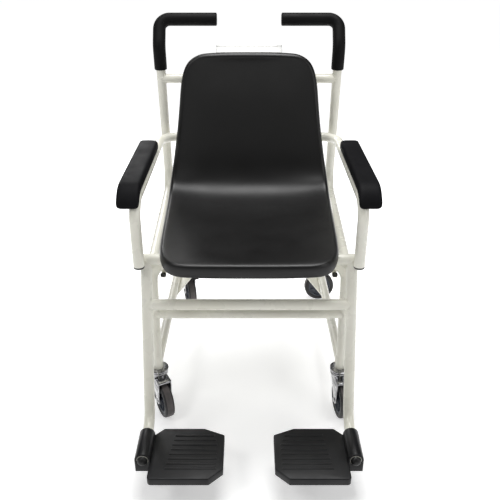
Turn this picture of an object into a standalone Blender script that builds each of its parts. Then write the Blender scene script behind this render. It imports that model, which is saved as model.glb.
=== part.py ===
"""Weighing chair on casters: a tubular seat frame carried by a load cell on a wheeled chassis.

Metres, +Z up, -Y is the front where the sitter's feet rest. The origin is on the floor under the middle.
"""
import bpy
import bmesh
from math import asin, cos, pi, radians, sin, tan
from mathutils import Matrix, Vector

for old_object in list(bpy.data.objects):
    bpy.data.objects.remove(old_object, do_unlink=True)

# Clearances and tube stock
MM = 0.001
FIT_GAP = 0.3 * MM
CUT_OVERRUN = 10 * MM
TUBE_DIAMETER = 25.4 * MM
TUBE_WALL = 2 * MM
TUBE_RADIUS = TUBE_DIAMETER / 2
BORE_RADIUS = TUBE_RADIUS - TUBE_WALL
TUBE_SIDES = 12
BEND_STEPS = 4
CUTTER_SIDES = 24
ROUND_SIDES = 16
SHARP_ANGLE = radians(40)

# Weighed frame: places of its tubes
LEG_X = 238 * MM
CROSS_TUBE_Y = -189 * MM
CROSS_TUBE_Z = 481 * MM
HOUSING_REAR_Y = -351 * MM
HOUSING_LENGTH = 85 * MM
FOOT_TUBE_Z = 104 * MM
FOOT_TUBE_END_Y = HOUSING_REAR_Y - HOUSING_LENGTH
FOOT_BEND_RADIUS = 50 * MM
LEG_FOOT_SETBACK = 39.2 * MM
LEG_FOOT_Y = HOUSING_REAR_Y + LEG_FOOT_SETBACK
LEG_LEAN_SHARE = (CROSS_TUBE_Y - LEG_FOOT_Y) / (CROSS_TUBE_Z - FOOT_TUBE_Z)
LEG_SEAM_RISE = 49 * MM
LEG_SEAM_Z = FOOT_TUBE_Z + LEG_SEAM_RISE
LEG_CROSSBAR_DROP = 102 * MM
LEG_CROSSBAR_Z = CROSS_TUBE_Z - LEG_CROSSBAR_DROP
RAIL_DROP = 9 * MM
RAIL_Z = CROSS_TUBE_Z - RAIL_DROP
RAIL_FRONT_X = 222.5 * MM
UPRIGHT_BOTTOM_X = 238.5 * MM
UPRIGHT_TOP_X = 244.5 * MM
UPRIGHT_Y = 303 * MM
UPRIGHT_HEIGHT = 394 * MM
RAIL_BEND_RADIUS = 60 * MM
HANDLE_KINK_Z = CROSS_TUBE_Z + UPRIGHT_HEIGHT
UPPER_CROSSBAR_DROP = 87 * MM
UPPER_CROSSBAR_Z = HANDLE_KINK_Z - UPPER_CROSSBAR_DROP

# Push handles
HANDLE_Y = 345 * MM
HANDLE_RISE = 63.5 * MM
HANDLE_Z = HANDLE_KINK_Z + HANDLE_RISE
HANDLE_INNER_X = 88 * MM
HANDLE_KINK_RADIUS = 50 * MM
HANDLE_BEND_RADIUS = 28 * MM
GRIP_RADIUS = 17.2 * MM
GRIP_START_DROP = 63 * MM
GRIP_START_Z = HANDLE_KINK_Z - GRIP_START_DROP
GRIP_END_WALL = 3 * MM
GRIP_SIDES = 12

# Armrests
ARM_X = 250 * MM
ARM_POST_DROP = 5 * MM
ARM_POST_BOTTOM_Z = CROSS_TUBE_Z - ARM_POST_DROP
ARM_POST_HEIGHT = 154 * MM
ARM_Z = ARM_POST_BOTTOM_Z + ARM_POST_HEIGHT
ARM_POST_GAP = 0.5 * MM
ARM_PIVOT_Y = UPRIGHT_Y - TUBE_DIAMETER - 2 * FIT_GAP
ARM_FRONT_RADIUS = 48 * MM
ARM_REAR_RADIUS = 55 * MM
ARM_TUBE_END_X = 190 * MM
PIVOT_PIN_RADIUS = 10 * MM
PIVOT_PIN_LENGTH = 63 * MM
PIVOT_PIN_SOCKET = 10 * MM
PIN_SIDES = 16
PLUG_CAP_THICKNESS = 3 * MM
PLUG_INSERT = 12 * MM
PAD_INNER_X = 238 * MM
PAD_WIDTH = 50.5 * MM
PAD_THICKNESS = 21.5 * MM
PAD_REAR_Y = 137 * MM
PAD_NOSE_DROP = 12 * MM
PAD_NOSE_Z = ARM_Z - PAD_NOSE_DROP
PAD_NOSE_THICKNESS = 9 * MM
PAD_EDGE = 6 * MM
PAD_STEPS = 6
PAD_REAR_CORNER = 12 * MM
BRACKET_THICKNESS = 6 * MM
BRACKET_RISE = 7 * MM
BRACKET_DROP = 18 * MM
BRACKET_INNER_X = 152 * MM

# Seat shell: its rim line runs from the front edge along the pan and up the back
SEAT_FRONT_Y = -264 * MM
SEAT_TOP_Y = 245.5 * MM
SEAT_RIM_RISE = 24 * MM
SEAT_RIM_Z = CROSS_TUBE_Z + SEAT_RIM_RISE
SEAT_BACK_HEIGHT = 352 * MM
SEAT_TOP_Z = SEAT_RIM_Z + SEAT_BACK_HEIGHT
SEAT_HALF_WIDTH = 212 * MM
SEAT_DISH = 30 * MM
SEAT_DISH_POWER = 2.6
SEAT_WALL = 5 * MM
SEAT_RIM_OUT = 9 * MM
SEAT_RIM_DROP = 15 * MM
SEAT_COLUMNS = 10
# Each row as shares: y from front to top, z from rim to top, half width, dish depth, rim drop
SEAT_ROW_SHARES = (
    (0.000, 0.000, 0.665, 0.00, 1.85), (0.012, 0.006, 0.765, 0.03, 1.85), (0.037, 0.009, 0.838, 0.08, 1.75),
    (0.082, 0.009, 0.893, 0.15, 1.30), (0.145, 0.006, 0.921, 0.20, 0.80), (0.245, 0.006, 0.938, 0.30, 0.90),
    (0.361, 0.006, 0.952, 0.36, 1.00), (0.467, 0.006, 0.961, 0.42, 1.00), (0.577, 0.006, 0.970, 0.50, 1.00),
    (0.675, 0.009, 0.976, 0.62, 1.00), (0.754, 0.017, 0.982, 0.78, 1.00), (0.816, 0.037, 0.980, 0.92, 1.00),
    (0.860, 0.082, 0.970, 1.00, 1.00), (0.889, 0.156, 0.950, 1.00, 1.00), (0.909, 0.241, 0.924, 0.97, 1.00),
    (0.924, 0.341, 0.899, 0.92, 1.00), (0.938, 0.446, 0.873, 0.86, 1.00), (0.952, 0.554, 0.851, 0.80, 1.00),
    (0.965, 0.659, 0.832, 0.74, 1.00), (0.976, 0.759, 0.818, 0.66, 1.00), (0.985, 0.844, 0.800, 0.52, 1.00),
    (0.991, 0.906, 0.772, 0.38, 1.00), (0.996, 0.955, 0.731, 0.24, 1.00), (0.999, 0.986, 0.655, 0.12, 1.00),
    (1.000, 1.000, 0.590, 0.05, 1.00),
)

# Seat supports
SUPPORT_BAR_WIDTH = 30 * MM
SUPPORT_BAR_THICKNESS = 6 * MM
SUPPORT_BAR_RISE = 1.5 * MM
SUPPORT_BAR_Z = RAIL_Z + SUPPORT_BAR_RISE
SUPPORT_BAR_YS = (-80 * MM, 70 * MM)
SEAT_MOUNT_X = 110 * MM
SEAT_MOUNT_RADIUS = 14 * MM
PLATE_WELD = 1 * MM
BOLT_SIDES = 12

# Casters
WHEEL_RADIUS = 50 * MM
WHEEL_WIDTH = 26 * MM
TYRE_DEPTH = 12.5 * MM
TYRE_SHOULDER = 6 * MM
HUB_WEB_WIDTH = 12 * MM
HUB_RIM_WIDTH = 22 * MM
HUB_RIM_DEPTH = 5 * MM
HUB_BOSS_RADIUS = 11 * MM
AXLE_RADIUS = 4 * MM
AXLE_CLEARANCE = 0.6 * MM
AXLE_HEAD_RADIUS = 7 * MM
AXLE_HEAD_THICKNESS = 3 * MM
CASTER_TRAIL = 30 * MM
WHEEL_SIDE_GAP = 2 * MM
FORK_THICKNESS = 3 * MM
WHEEL_TOP_GAP = 6 * MM
FORK_CROWN = 8 * MM
FORK_TOP_Z = 2 * WHEEL_RADIUS + WHEEL_TOP_GAP + FORK_CROWN
FORK_HALF_LENGTH = 16 * MM
FORK_REACH = 46 * MM
FORK_LOBE = 11 * MM
SWIVEL_RADIUS = 24 * MM
SWIVEL_HEIGHT = 12.8 * MM
HEAD_RADIUS = 27 * MM
HEAD_THICKNESS = 5 * MM
SWIVEL_GAP = 0.6 * MM
SWIVEL_TOP_Z = FORK_TOP_Z + SWIVEL_HEIGHT
CASTER_HEIGHT = SWIVEL_TOP_Z + SWIVEL_GAP + HEAD_THICKNESS + 2 * FIT_GAP
STEM_RADIUS = 10 * MM
FRONT_STEM_LENGTH = 35 * MM
WHEEL_SIDES = 20
PEDAL_LENGTH = 34 * MM
PEDAL_EAR = 3 * MM
PEDAL_PLATE = 4 * MM
PEDAL_PIVOT_RADIUS = 3 * MM
PEDAL_PIVOT_SHARE = 0.80
PEDAL_RISE = 9 * MM

# Chassis
CHASSIS_X = 239 * MM
CHASSIS_FRONT_Y = -137 * MM
HOOP_TOP_Y = -108 * MM
HOOP_TOP_DROP = 44 * MM
HOOP_TOP_Z = RAIL_Z - HOOP_TOP_DROP
HOOP_TOP_RADIUS = 45 * MM
HOOP_KINK_RADIUS = 90 * MM
GUSSET_THICKNESS = 4 * MM
CHASSIS_RAIL_Z = CASTER_HEIGHT + GUSSET_THICKNESS + TUBE_RADIUS + FIT_GAP
HOOP_KINK_RISE = 45 * MM
HOOP_KINK_Z = CHASSIS_RAIL_Z + HOOP_KINK_RISE
CHASSIS_REAR_X = 233.5 * MM
CHASSIS_REAR_Y = 450 * MM
HOOP_CROSSBAR_DROP = 136.5 * MM
CHASSIS_CROSSBAR_Z = HOOP_TOP_Z - HOOP_CROSSBAR_DROP
REAR_CROSS_Y = 436 * MM
REAR_CASTER_X = 213.5 * MM
REAR_CASTER_Y = 425.5 * MM
GUSSET_WELD_WIDTH = 4 * MM
GUSSET_FRONT_Y = 200 * MM
GUSSET_INNER_X = 150 * MM
# Name, x, y and heading of each caster as it stands: 0 degrees trails towards the front
CASTERS = (
    ("front_left", -CHASSIS_X, CHASSIS_FRONT_Y, radians(27)),
    ("front_right", CHASSIS_X, CHASSIS_FRONT_Y, radians(8)),
    ("rear_left", -REAR_CASTER_X, REAR_CASTER_Y, radians(18)),
    ("rear_right", REAR_CASTER_X, REAR_CASTER_Y, radians(95)),
)

# Load cell between hoop and seat supports
CELL_WIDTH = 30 * MM
CELL_LENGTH = 130 * MM
CELL_HEIGHT = 19.5 * MM
CELL_FRONT_Y = -100 * MM
CELL_PAD_HEIGHT = 2 * MM
CELL_PAD_LENGTH = 42 * MM
CELL_WINDOW_RADIUS = 7 * MM
BASE_PLATE_WIDTH = 90 * MM
BASE_PLATE_FRONT_Y = -124 * MM
BASE_PLATE_REAR_Y = -54 * MM
BASE_PLATE_THICKNESS = 4 * MM
TOP_PLATE_WIDTH = 100 * MM
TOP_PLATE_FRONT_Y = -110 * MM
TOP_PLATE_REAR_Y = 98 * MM
CELL_STUD_RADIUS = 3 * MM
CELL_STUD_PITCH = 16 * MM
CELL_STUD_EDGE = 16 * MM
CELL_STUD_LENGTH = 9 * MM

# Travel stops that keep the seat frame from lifting off the chassis
STOP_X = 213 * MM
STOP_WIDTH = 12 * MM
STOP_THICKNESS = 3 * MM
STOP_FOOT_DROP = 40.5 * MM
STOP_FOOT_Z = HOOP_TOP_Z - STOP_FOOT_DROP
STOP_FOOT_LENGTH = 17 * MM
BUFFER_SETBACK = 13.5 * MM
STOP_CLEARANCE = 1.2 * MM
BUFFER_RADIUS = 7 * MM
BUFFER_HEIGHT = 7.5 * MM

# Footplates
PLATE_TOP_DROP = 4 * MM
PLATE_TOP_Z = FOOT_TUBE_Z - PLATE_TOP_DROP
PLATE_THICKNESS = 21 * MM
PLATE_LENGTH = 155 * MM
PLATE_OVERHANG = 22 * MM
PLATE_REAR_Y = HOUSING_REAR_Y + PLATE_OVERHANG
PLATE_FRONT_Y = PLATE_REAR_Y - PLATE_LENGTH
PLATE_INNER_X = 57.5 * MM
PLATE_OUTER_X = 223 * MM
PLATE_REAR_CHAMFER = (48 * MM, 21 * MM)
PLATE_FRONT_CHAMFER = (31 * MM, 29 * MM)
PLATE_OUTER_CHAMFER = (22 * MM, 22 * MM)
PLATE_EDGE = 2.5 * MM
HOUSING_WIDTH = 36 * MM
HOUSING_DROP = 33 * MM
HOUSING_BOTTOM_Z = FOOT_TUBE_Z - HOUSING_DROP
HOUSING_BORE_GAP = 0.65 * MM
HOUSING_ARC_STEPS = 8
PLUG_HEAD_RADIUS = 11.5 * MM
PLUG_DOME = 4 * MM

# Weight indicator behind the seat back
INDICATOR_WIDTH = 183 * MM
INDICATOR_HEIGHT = 100 * MM
INDICATOR_REAR_DEPTH = 26 * MM
INDICATOR_COVER_DEPTH = 8 * MM
INDICATOR_WALL = 2.5 * MM
INDICATOR_TOP_Y = 320 * MM
INDICATOR_RISE = 67 * MM
INDICATOR_TOP_Z = UPPER_CROSSBAR_Z + INDICATOR_RISE
INDICATOR_TILT = radians(30)
WINDOW_WIDTH = 104 * MM
WINDOW_HEIGHT = 34 * MM
WINDOW_LIFT = 18 * MM
WINDOW_THICKNESS = 2 * MM
BOARD_THICKNESS = 1.6 * MM
BOARD_INSET = 9 * MM
KEY_WIDTH = 24 * MM
KEY_HEIGHT = 13 * MM
KEY_DEPTH = 6.5 * MM
KEY_PITCH = 38 * MM
KEY_DROP = 24 * MM
KEY_PROUD = 2 * MM
KEY_COUNT = 3
BRACKET_WIDTH = 60 * MM
BRACKET_PLATE = 3 * MM
BRACKET_CLAMP_HEIGHT = 24 * MM
BRACKET_FACE_HEIGHT = 46 * MM

# The origin lies under the middle of the chair, between the footplates' front and the rails' rear
ORIGIN_Y = (PLATE_FRONT_Y + CHASSIS_REAR_Y) / 2

MATERIALS = {}


def material(name, colour, roughness, metallic=0.0):
    """A Principled material, made once for each name."""
    if name not in MATERIALS:
        made = bpy.data.materials.new(name)
        made.use_nodes = True
        shader = made.node_tree.nodes["Principled BSDF"]
        shader.inputs["Base Color"].default_value = (*colour, 1.0)
        shader.inputs["Roughness"].default_value = roughness
        shader.inputs["Metallic"].default_value = metallic
        MATERIALS[name] = made
    return MATERIALS[name]


def frame_paint():
    return material("ivory_paint", (0.80, 0.78, 0.71), 0.38)


def black_plastic():
    return material("black_plastic", (0.022, 0.021, 0.022), 0.42)


def foam():
    return material("black_foam", (0.020, 0.020, 0.021), 0.75)


def steel():
    return material("zinc_steel", (0.55, 0.55, 0.53), 0.32, 1.0)


def chrome():
    return material("chrome", (0.62, 0.62, 0.62), 0.18, 1.0)


def aluminium():
    return material("aluminium", (0.72, 0.73, 0.74), 0.40, 1.0)


def rubber():
    return material("dark_rubber", (0.045, 0.045, 0.048), 0.62)


def node(name, mesh_data, paint, pivot=None):
    """A named object with its origin at its pivot, smooth except at sharp edges."""
    made = bpy.data.objects.new(name, mesh_data)
    bpy.context.scene.collection.objects.link(made)
    if pivot is not None:
        mesh_data.transform(Matrix.Translation(-Vector(pivot)))
        made.location = pivot
    mesh_data.materials.append(paint)
    mesh_data.shade_smooth()
    mesh_data.set_sharp_from_angle(angle=SHARP_ANGLE)
    return made


def mesh_from(bm, name):
    """Turn a bmesh into mesh data with its faces pointing out."""
    bmesh.ops.recalc_face_normals(bm, faces=bm.faces)
    mesh_data = bpy.data.meshes.new(name)
    bm.to_mesh(mesh_data)
    bm.free()
    return mesh_data


def moved(bm, matrix):
    """Place a bmesh's vertices with a matrix."""
    bmesh.ops.transform(bm, matrix=matrix, verts=bm.verts)
    return bm


def joined(parts):
    """Several bmeshes as one with separate solids."""
    whole = bmesh.new()
    for part in parts:
        piece = bpy.data.meshes.new("piece")
        part.to_mesh(piece)
        part.free()
        whole.from_mesh(piece)
        bpy.data.meshes.remove(piece)
    return whole


def box(low, high):
    """A closed box between two corners."""
    bm = bmesh.new()
    low, high = Vector(low), Vector(high)
    bmesh.ops.create_cube(bm, size=1)
    size = high - low
    placed = Matrix.Translation((low + high) / 2) @ Matrix.Diagonal((*size, 1))
    return moved(bm, placed)


def frame_along(direction):
    """A rotation whose Z axis follows the direction."""
    return Vector(direction).normalized().to_track_quat("Z", "Y").to_matrix().to_4x4()


def cylinder(start, end, radius, sides=ROUND_SIDES):
    """A closed cylinder between two points."""
    start, end = Vector(start), Vector(end)
    bm = bmesh.new()
    bmesh.ops.create_cone(bm, cap_ends=True, segments=sides, radius1=radius, radius2=radius,
                          depth=(end - start).length)
    return moved(bm, Matrix.Translation((start + end) / 2) @ frame_along(end - start))


def prism(outline, thickness, place):
    """An outline in a plane, extruded along the plane's normal from the plane up."""
    bm = bmesh.new()
    low = [bm.verts.new((x, y, 0)) for x, y in outline]
    high = [bm.verts.new((x, y, thickness)) for x, y in outline]
    bm.faces.new(list(reversed(low)))
    bm.faces.new(high)
    for i in range(len(outline)):
        j = (i + 1) % len(outline)
        bm.faces.new((low[i], low[j], high[j], high[i]))
    return moved(bm, place)


def turned(profile, sides, place, closed=False):
    """A profile of (radius, height) turned about Z; a closed profile makes a ring."""
    bm = bmesh.new()
    rings = []
    for step in range(sides):
        angle = 2 * pi * step / sides
        rings.append([bm.verts.new((r * cos(angle), r * sin(angle), z)) for r, z in profile])
    count = len(profile)
    for step in range(sides):
        near, far = rings[step], rings[(step + 1) % sides]
        for i in range(count if closed else count - 1):
            j = (i + 1) % count
            bm.faces.new((near[i], far[i], far[j], near[j]))
    if not closed:
        bm.faces.new([ring[0] for ring in rings])
        bm.faces.new([ring[-1] for ring in reversed(rings)])
    return moved(bm, place)


def boolean(target, cutter_mesh, operation="DIFFERENCE"):
    """Cut, keep or join with a hidden helper object."""
    helper = bpy.data.objects.new(target.name + "_helper", cutter_mesh)
    bpy.context.scene.collection.objects.link(helper)
    helper.hide_render = True
    helper.display_type = "WIRE"
    modifier = target.modifiers.new(operation.lower(), "BOOLEAN")
    modifier.operation = operation
    modifier.solver = "EXACT"
    modifier.object = helper


def cope(target, start, end, radius=TUBE_RADIUS):
    """Cut a tube's end to fit round another tube that runs from start to end."""
    start, end = Vector(start), Vector(end)
    reach = (end - start).normalized() * CUT_OVERRUN
    wide = (radius + FIT_GAP) / cos(pi / CUTTER_SIDES)
    cutter = cylinder(start - reach, end + reach, wide, CUTTER_SIDES)
    boolean(target, mesh_from(cutter, "cope"))


def rounded_path(corners, steps=BEND_STEPS):
    """Points along straight runs joined by arcs; each corner is (point, bend radius)."""
    points = [Vector(corners[0][0])]
    for (before, _), (corner, radius), (after, _) in zip(corners, corners[1:], corners[2:]):
        before, corner, after = Vector(before), Vector(corner), Vector(after)
        into, out = (corner - before).normalized(), (after - corner).normalized()
        turn = into.angle(out)
        back = radius * tan(turn / 2)
        centre = corner + (out - into).normalized() * radius / cos(turn / 2)
        axis = into.cross(out).normalized()
        start = corner - into * back
        for step in range(steps + 1):
            turned_by = Matrix.Rotation(turn * step / steps, 3, axis)
            points.append(centre + turned_by @ (start - centre))
    points.append(Vector(corners[-1][0]))
    return points


def sweep(path, outline_at, closed_ends):
    """Rings of the outline along a path, each square to it, with flat ends if closed_ends."""
    bm = bmesh.new()
    tangents = []
    for i in range(len(path)):
        ahead = path[min(i + 1, len(path) - 1)] - path[i]
        behind = path[i] - path[max(i - 1, 0)]
        tangents.append((ahead.normalized() + behind.normalized()).normalized())
    side = Vector((1, 0, 0)) if abs(tangents[0].x) < 0.9 else Vector((0, 1, 0))
    side = (side - tangents[0] * side.dot(tangents[0])).normalized()
    rings = []
    for i, point in enumerate(path):
        if i:
            turn = tangents[i - 1].rotation_difference(tangents[i])
            side = turn @ side
            side = (side - tangents[i] * side.dot(tangents[i])).normalized()
        up = tangents[i].cross(side)
        ring = [bm.verts.new(point + side * a + up * b) for a, b in outline_at(i)]
        rings.append(ring)
    for near, far in zip(rings, rings[1:]):
        for i in range(len(near)):
            j = (i + 1) % len(near)
            bm.faces.new((near[i], near[j], far[j], far[i]))
    if closed_ends:
        bm.faces.new(list(reversed(rings[0])))
        bm.faces.new(rings[-1])
    return bm, rings


def circle(radius, sides):
    return [(radius * cos(2 * pi * i / sides), radius * sin(2 * pi * i / sides)) for i in range(sides)]


def pipe(path, radius=TUBE_RADIUS, wall=TUBE_WALL, sides=TUBE_SIDES):
    """A hollow tube, open at both ends, along a path."""
    outer, outer_rings = sweep(path, lambda i: circle(radius, sides), False)
    inner, inner_rings = sweep(path, lambda i: circle(radius - wall, sides), False)
    ends = [[[v.co.copy() for v in rings[k]] for rings in (outer_rings, inner_rings)] for k in (0, -1)]
    whole = joined((outer, inner))
    for outside, inside in ends:
        for i in range(sides):
            j = (i + 1) % sides
            corners = (outside[i], outside[j], inside[j], inside[i])
            whole.faces.new([whole.verts.new(corner) for corner in corners])
    bmesh.ops.remove_doubles(whole, verts=whole.verts, dist=FIT_GAP / 30)
    return whole


def solid_bar(path, radius, sides):
    return sweep(path, lambda i: circle(radius, sides), True)[0]


def leg_y(z):
    """The front leg's centre line leans forward on its way down from the cross tube."""
    return CROSS_TUBE_Y - (CROSS_TUBE_Z - z) * LEG_LEAN_SHARE


def upright_x(z):
    """The back uprights spread a little on their way up."""
    share = (z - RAIL_Z) / (HANDLE_KINK_Z - RAIL_Z)
    return UPRIGHT_BOTTOM_X + (UPRIGHT_TOP_X - UPRIGHT_BOTTOM_X) * share


def hoop_y(z):
    """The chassis hoop leans back above its kink."""
    share = (z - HOOP_KINK_Z) / (HOOP_TOP_Z - HOOP_KINK_Z)
    return CHASSIS_FRONT_Y + (HOOP_TOP_Y - CHASSIS_FRONT_Y) * max(0, share)


def end_plug(end, direction, bore, cap_radius, dome):
    """A plug: an insert in the bore, and a cap that stands on the tube's end."""
    profile = (
        (bore - FIT_GAP, -PLUG_INSERT), (bore - FIT_GAP, FIT_GAP), (cap_radius, FIT_GAP),
        (cap_radius, dome * 0.6), (cap_radius * 0.8, dome),
    )
    return turned(profile, TUBE_SIDES, Matrix.Translation(end) @ frame_along(direction))


def build_back_tube(label, side):
    """Seat rail, back upright and push handle, bent from one tube."""
    front_y = CROSS_TUBE_Y + TUBE_RADIUS + 2 * FIT_GAP
    corners = (
        ((side * RAIL_FRONT_X, front_y, RAIL_Z), 0),
        ((side * UPRIGHT_BOTTOM_X, UPRIGHT_Y, RAIL_Z), RAIL_BEND_RADIUS),
        ((side * UPRIGHT_TOP_X, UPRIGHT_Y, HANDLE_KINK_Z), HANDLE_KINK_RADIUS),
        ((side * UPRIGHT_TOP_X, HANDLE_Y, HANDLE_Z), HANDLE_BEND_RADIUS),
        ((side * (HANDLE_INNER_X + GRIP_END_WALL + FIT_GAP), HANDLE_Y, HANDLE_Z), 0),
    )
    tube = node("back_tube_" + label, mesh_from(pipe(rounded_path(corners)), "tube"), frame_paint())
    boolean(tube, mesh_from(travel_stop(side), "stop"), "UNION")
    return tube


def build_grip(label, side):
    """Foam grip: follows the handle from the upright round to its closed inner end."""
    start = (side * upright_x(GRIP_START_Z), UPRIGHT_Y, GRIP_START_Z)
    kink = ((side * UPRIGHT_TOP_X, UPRIGHT_Y, HANDLE_KINK_Z), HANDLE_KINK_RADIUS)
    corner = ((side * UPRIGHT_TOP_X, HANDLE_Y, HANDLE_Z), HANDLE_BEND_RADIUS)
    inner_x = side * HANDLE_INNER_X
    outside = rounded_path(((start, 0), kink, corner, ((inner_x, HANDLE_Y, HANDLE_Z), 0)))
    below = Vector(start) - Vector((0, 0, CUT_OVERRUN))
    bore_end = side * (HANDLE_INNER_X + GRIP_END_WALL)
    inside = rounded_path(((below, 0), kink, corner, ((bore_end, HANDLE_Y, HANDLE_Z), 0)))
    body = sweep(outside, lambda i: circle(GRIP_RADIUS, GRIP_SIDES), True)[0]
    grip = node("handle_grip_" + label, mesh_from(body, "grip"), foam())
    bore = (TUBE_RADIUS + FIT_GAP) / cos(pi / TUBE_SIDES)
    boolean(grip, mesh_from(solid_bar(inside, bore, TUBE_SIDES), "bore"))
    return grip


def build_crossbar(name, half_x, y, z, copes, sides=TUBE_SIDES):
    """A straight tube across the chair, its ends fitted round the tubes it meets."""
    path = [Vector((-half_x, y, z)), Vector((half_x, y, z))]
    bar = node(name, mesh_from(pipe(path, sides=sides), "bar"), frame_paint())
    for start, end in copes:
        for side in (-1, 1):
            cope(bar, (side * start[0], *start[1:]), (side * end[0], *end[1:]))
    return bar


def build_front_cross_tube():
    half = ARM_X + TUBE_RADIUS
    path = [Vector((-half, CROSS_TUBE_Y, CROSS_TUBE_Z)), Vector((half, CROSS_TUBE_Y, CROSS_TUBE_Z))]
    return node("front_cross_tube", mesh_from(pipe(path), "bar"), frame_paint())


def build_front_leg(label, side):
    path = [Vector((side * LEG_X, leg_y(z), z)) for z in (CROSS_TUBE_Z, LEG_SEAM_Z)]
    leg = node("front_leg_" + label, mesh_from(pipe(path), "leg"), frame_paint())
    half = TUBE_DIAMETER
    cope(leg, (side * LEG_X - half, CROSS_TUBE_Y, CROSS_TUBE_Z),
         (side * LEG_X + half, CROSS_TUBE_Y, CROSS_TUBE_Z))
    return leg


def build_footrest_tube(label, side):
    """Leads the leg's line forward to carry the footplate; meets the leg at a seam."""
    seam = Vector((side * LEG_X, leg_y(LEG_SEAM_Z), LEG_SEAM_Z))
    corner = Vector((side * LEG_X, leg_y(FOOT_TUBE_Z), FOOT_TUBE_Z))
    start = seam + (corner - seam).normalized() * FIT_GAP
    corners = ((start, 0), (corner, FOOT_BEND_RADIUS), ((side * LEG_X, FOOT_TUBE_END_Y, FOOT_TUBE_Z), 0))
    return node("footrest_tube_" + label, mesh_from(pipe(rounded_path(corners)), "tube"), frame_paint())


def build_arm_pivot_tube():
    """Cross tube that the armrests turn on, with a welded plate at each upright."""
    half = ARM_TUBE_END_X - FIT_GAP
    path = [Vector((-half, ARM_PIVOT_Y, ARM_Z)), Vector((half, ARM_PIVOT_Y, ARM_Z))]
    tube = node("arm_pivot_tube", mesh_from(pipe(path, sides=PIN_SIDES), "tube"), frame_paint())
    low, high = ARM_Z - BRACKET_DROP, ARM_Z + BRACKET_RISE
    plate_front = ARM_PIVOT_Y + TUBE_RADIUS + FIT_GAP
    plate_back = plate_front + BRACKET_THICKNESS
    for side in (-1, 1):
        inner, middle = side * BRACKET_INNER_X, side * (half - BRACKET_THICKNESS)
        outer = side * upright_x(ARM_Z)
        block_front = ARM_PIVOT_Y + TUBE_RADIUS - TUBE_WALL * 0.6
        block = box((min(inner, middle), block_front, low),
                    (max(inner, middle), plate_back - FIT_GAP, high))
        boolean(tube, mesh_from(block, "block"), "UNION")
        plate = box((min(middle - side * BRACKET_THICKNESS, outer), plate_front, low),
                    (max(middle - side * BRACKET_THICKNESS, outer), plate_back, high))
        boolean(tube, mesh_from(plate, "plate"), "UNION")
        below, above = ARM_Z - TUBE_DIAMETER, ARM_Z + TUBE_DIAMETER
        cope(tube, (side * upright_x(below), UPRIGHT_Y, below), (side * upright_x(above), UPRIGHT_Y, above))
    return tube


def stop_strap_y():
    """Front face of the straps, behind the chassis hoop."""
    return HOOP_TOP_Y + TUBE_RADIUS + STOP_CLEARANCE


def travel_stop(side):
    """A strap that hooks under the chassis hoop from the seat rail."""
    strap_y = stop_strap_y()
    weld_z = RAIL_Z - TUBE_RADIUS * 0.76
    foot_front = strap_y - STOP_FOOT_LENGTH
    foot_top = STOP_FOOT_Z + STOP_THICKNESS
    strap_back = strap_y + STOP_THICKNESS
    outline = ((foot_front, STOP_FOOT_Z), (strap_back, STOP_FOOT_Z), (strap_back, weld_z),
               (strap_y, weld_z),
               (strap_y, foot_top), (foot_front, foot_top))
    along_x = Matrix(((0, 0, 1, side * STOP_X - STOP_WIDTH / 2), (1, 0, 0, 0), (0, 1, 0, 0), (0, 0, 0, 1)))
    return prism(outline, STOP_WIDTH, along_x)


def build_stop_buffer(label, side):
    low = STOP_FOOT_Z + STOP_THICKNESS + FIT_GAP
    middle_y = stop_strap_y() - BUFFER_SETBACK
    start, end = (side * STOP_X, middle_y, low), (side * STOP_X, middle_y, low + BUFFER_HEIGHT)
    return node("travel_stop_buffer_" + label,
                mesh_from(cylinder(start, end, BUFFER_RADIUS, PIN_SIDES), "buffer"), rubber())


def build_foot_plug(label, side):
    """Domed plug in the front end of a footrest tube."""
    foot = (side * LEG_X, FOOT_TUBE_END_Y, FOOT_TUBE_Z)
    plug = end_plug(foot, (0, -1, 0), BORE_RADIUS * cos(pi / TUBE_SIDES), PLUG_HEAD_RADIUS, PLUG_DOME)
    return node("footrest_end_plug_" + label, mesh_from(plug, "plug"), black_plastic())


def build_weighed_frame():
    for label, side in (("left", -1), ("right", 1)):
        build_back_tube(label, side)
        build_grip(label, side)
        build_front_leg(label, side)
        build_footrest_tube(label, side)
        build_foot_plug(label, side)
        build_stop_buffer(label, side)
    build_front_cross_tube()
    upright_low = (upright_x(UPPER_CROSSBAR_Z - TUBE_DIAMETER), UPRIGHT_Y, UPPER_CROSSBAR_Z - TUBE_DIAMETER)
    upright_high = (upright_x(UPPER_CROSSBAR_Z + TUBE_DIAMETER), UPRIGHT_Y,
                    UPPER_CROSSBAR_Z + TUBE_DIAMETER)
    build_crossbar("upper_crossbar", upright_x(UPPER_CROSSBAR_Z), UPRIGHT_Y, UPPER_CROSSBAR_Z,
                   ((upright_low, upright_high),))
    leg_low = (LEG_X, leg_y(LEG_CROSSBAR_Z - TUBE_DIAMETER), LEG_CROSSBAR_Z - TUBE_DIAMETER)
    leg_high = (LEG_X, leg_y(LEG_CROSSBAR_Z + TUBE_DIAMETER), LEG_CROSSBAR_Z + TUBE_DIAMETER)
    build_crossbar("front_leg_crossbar", LEG_X, leg_y(LEG_CROSSBAR_Z), LEG_CROSSBAR_Z,
                   ((leg_low, leg_high),))
    build_arm_pivot_tube()


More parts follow.
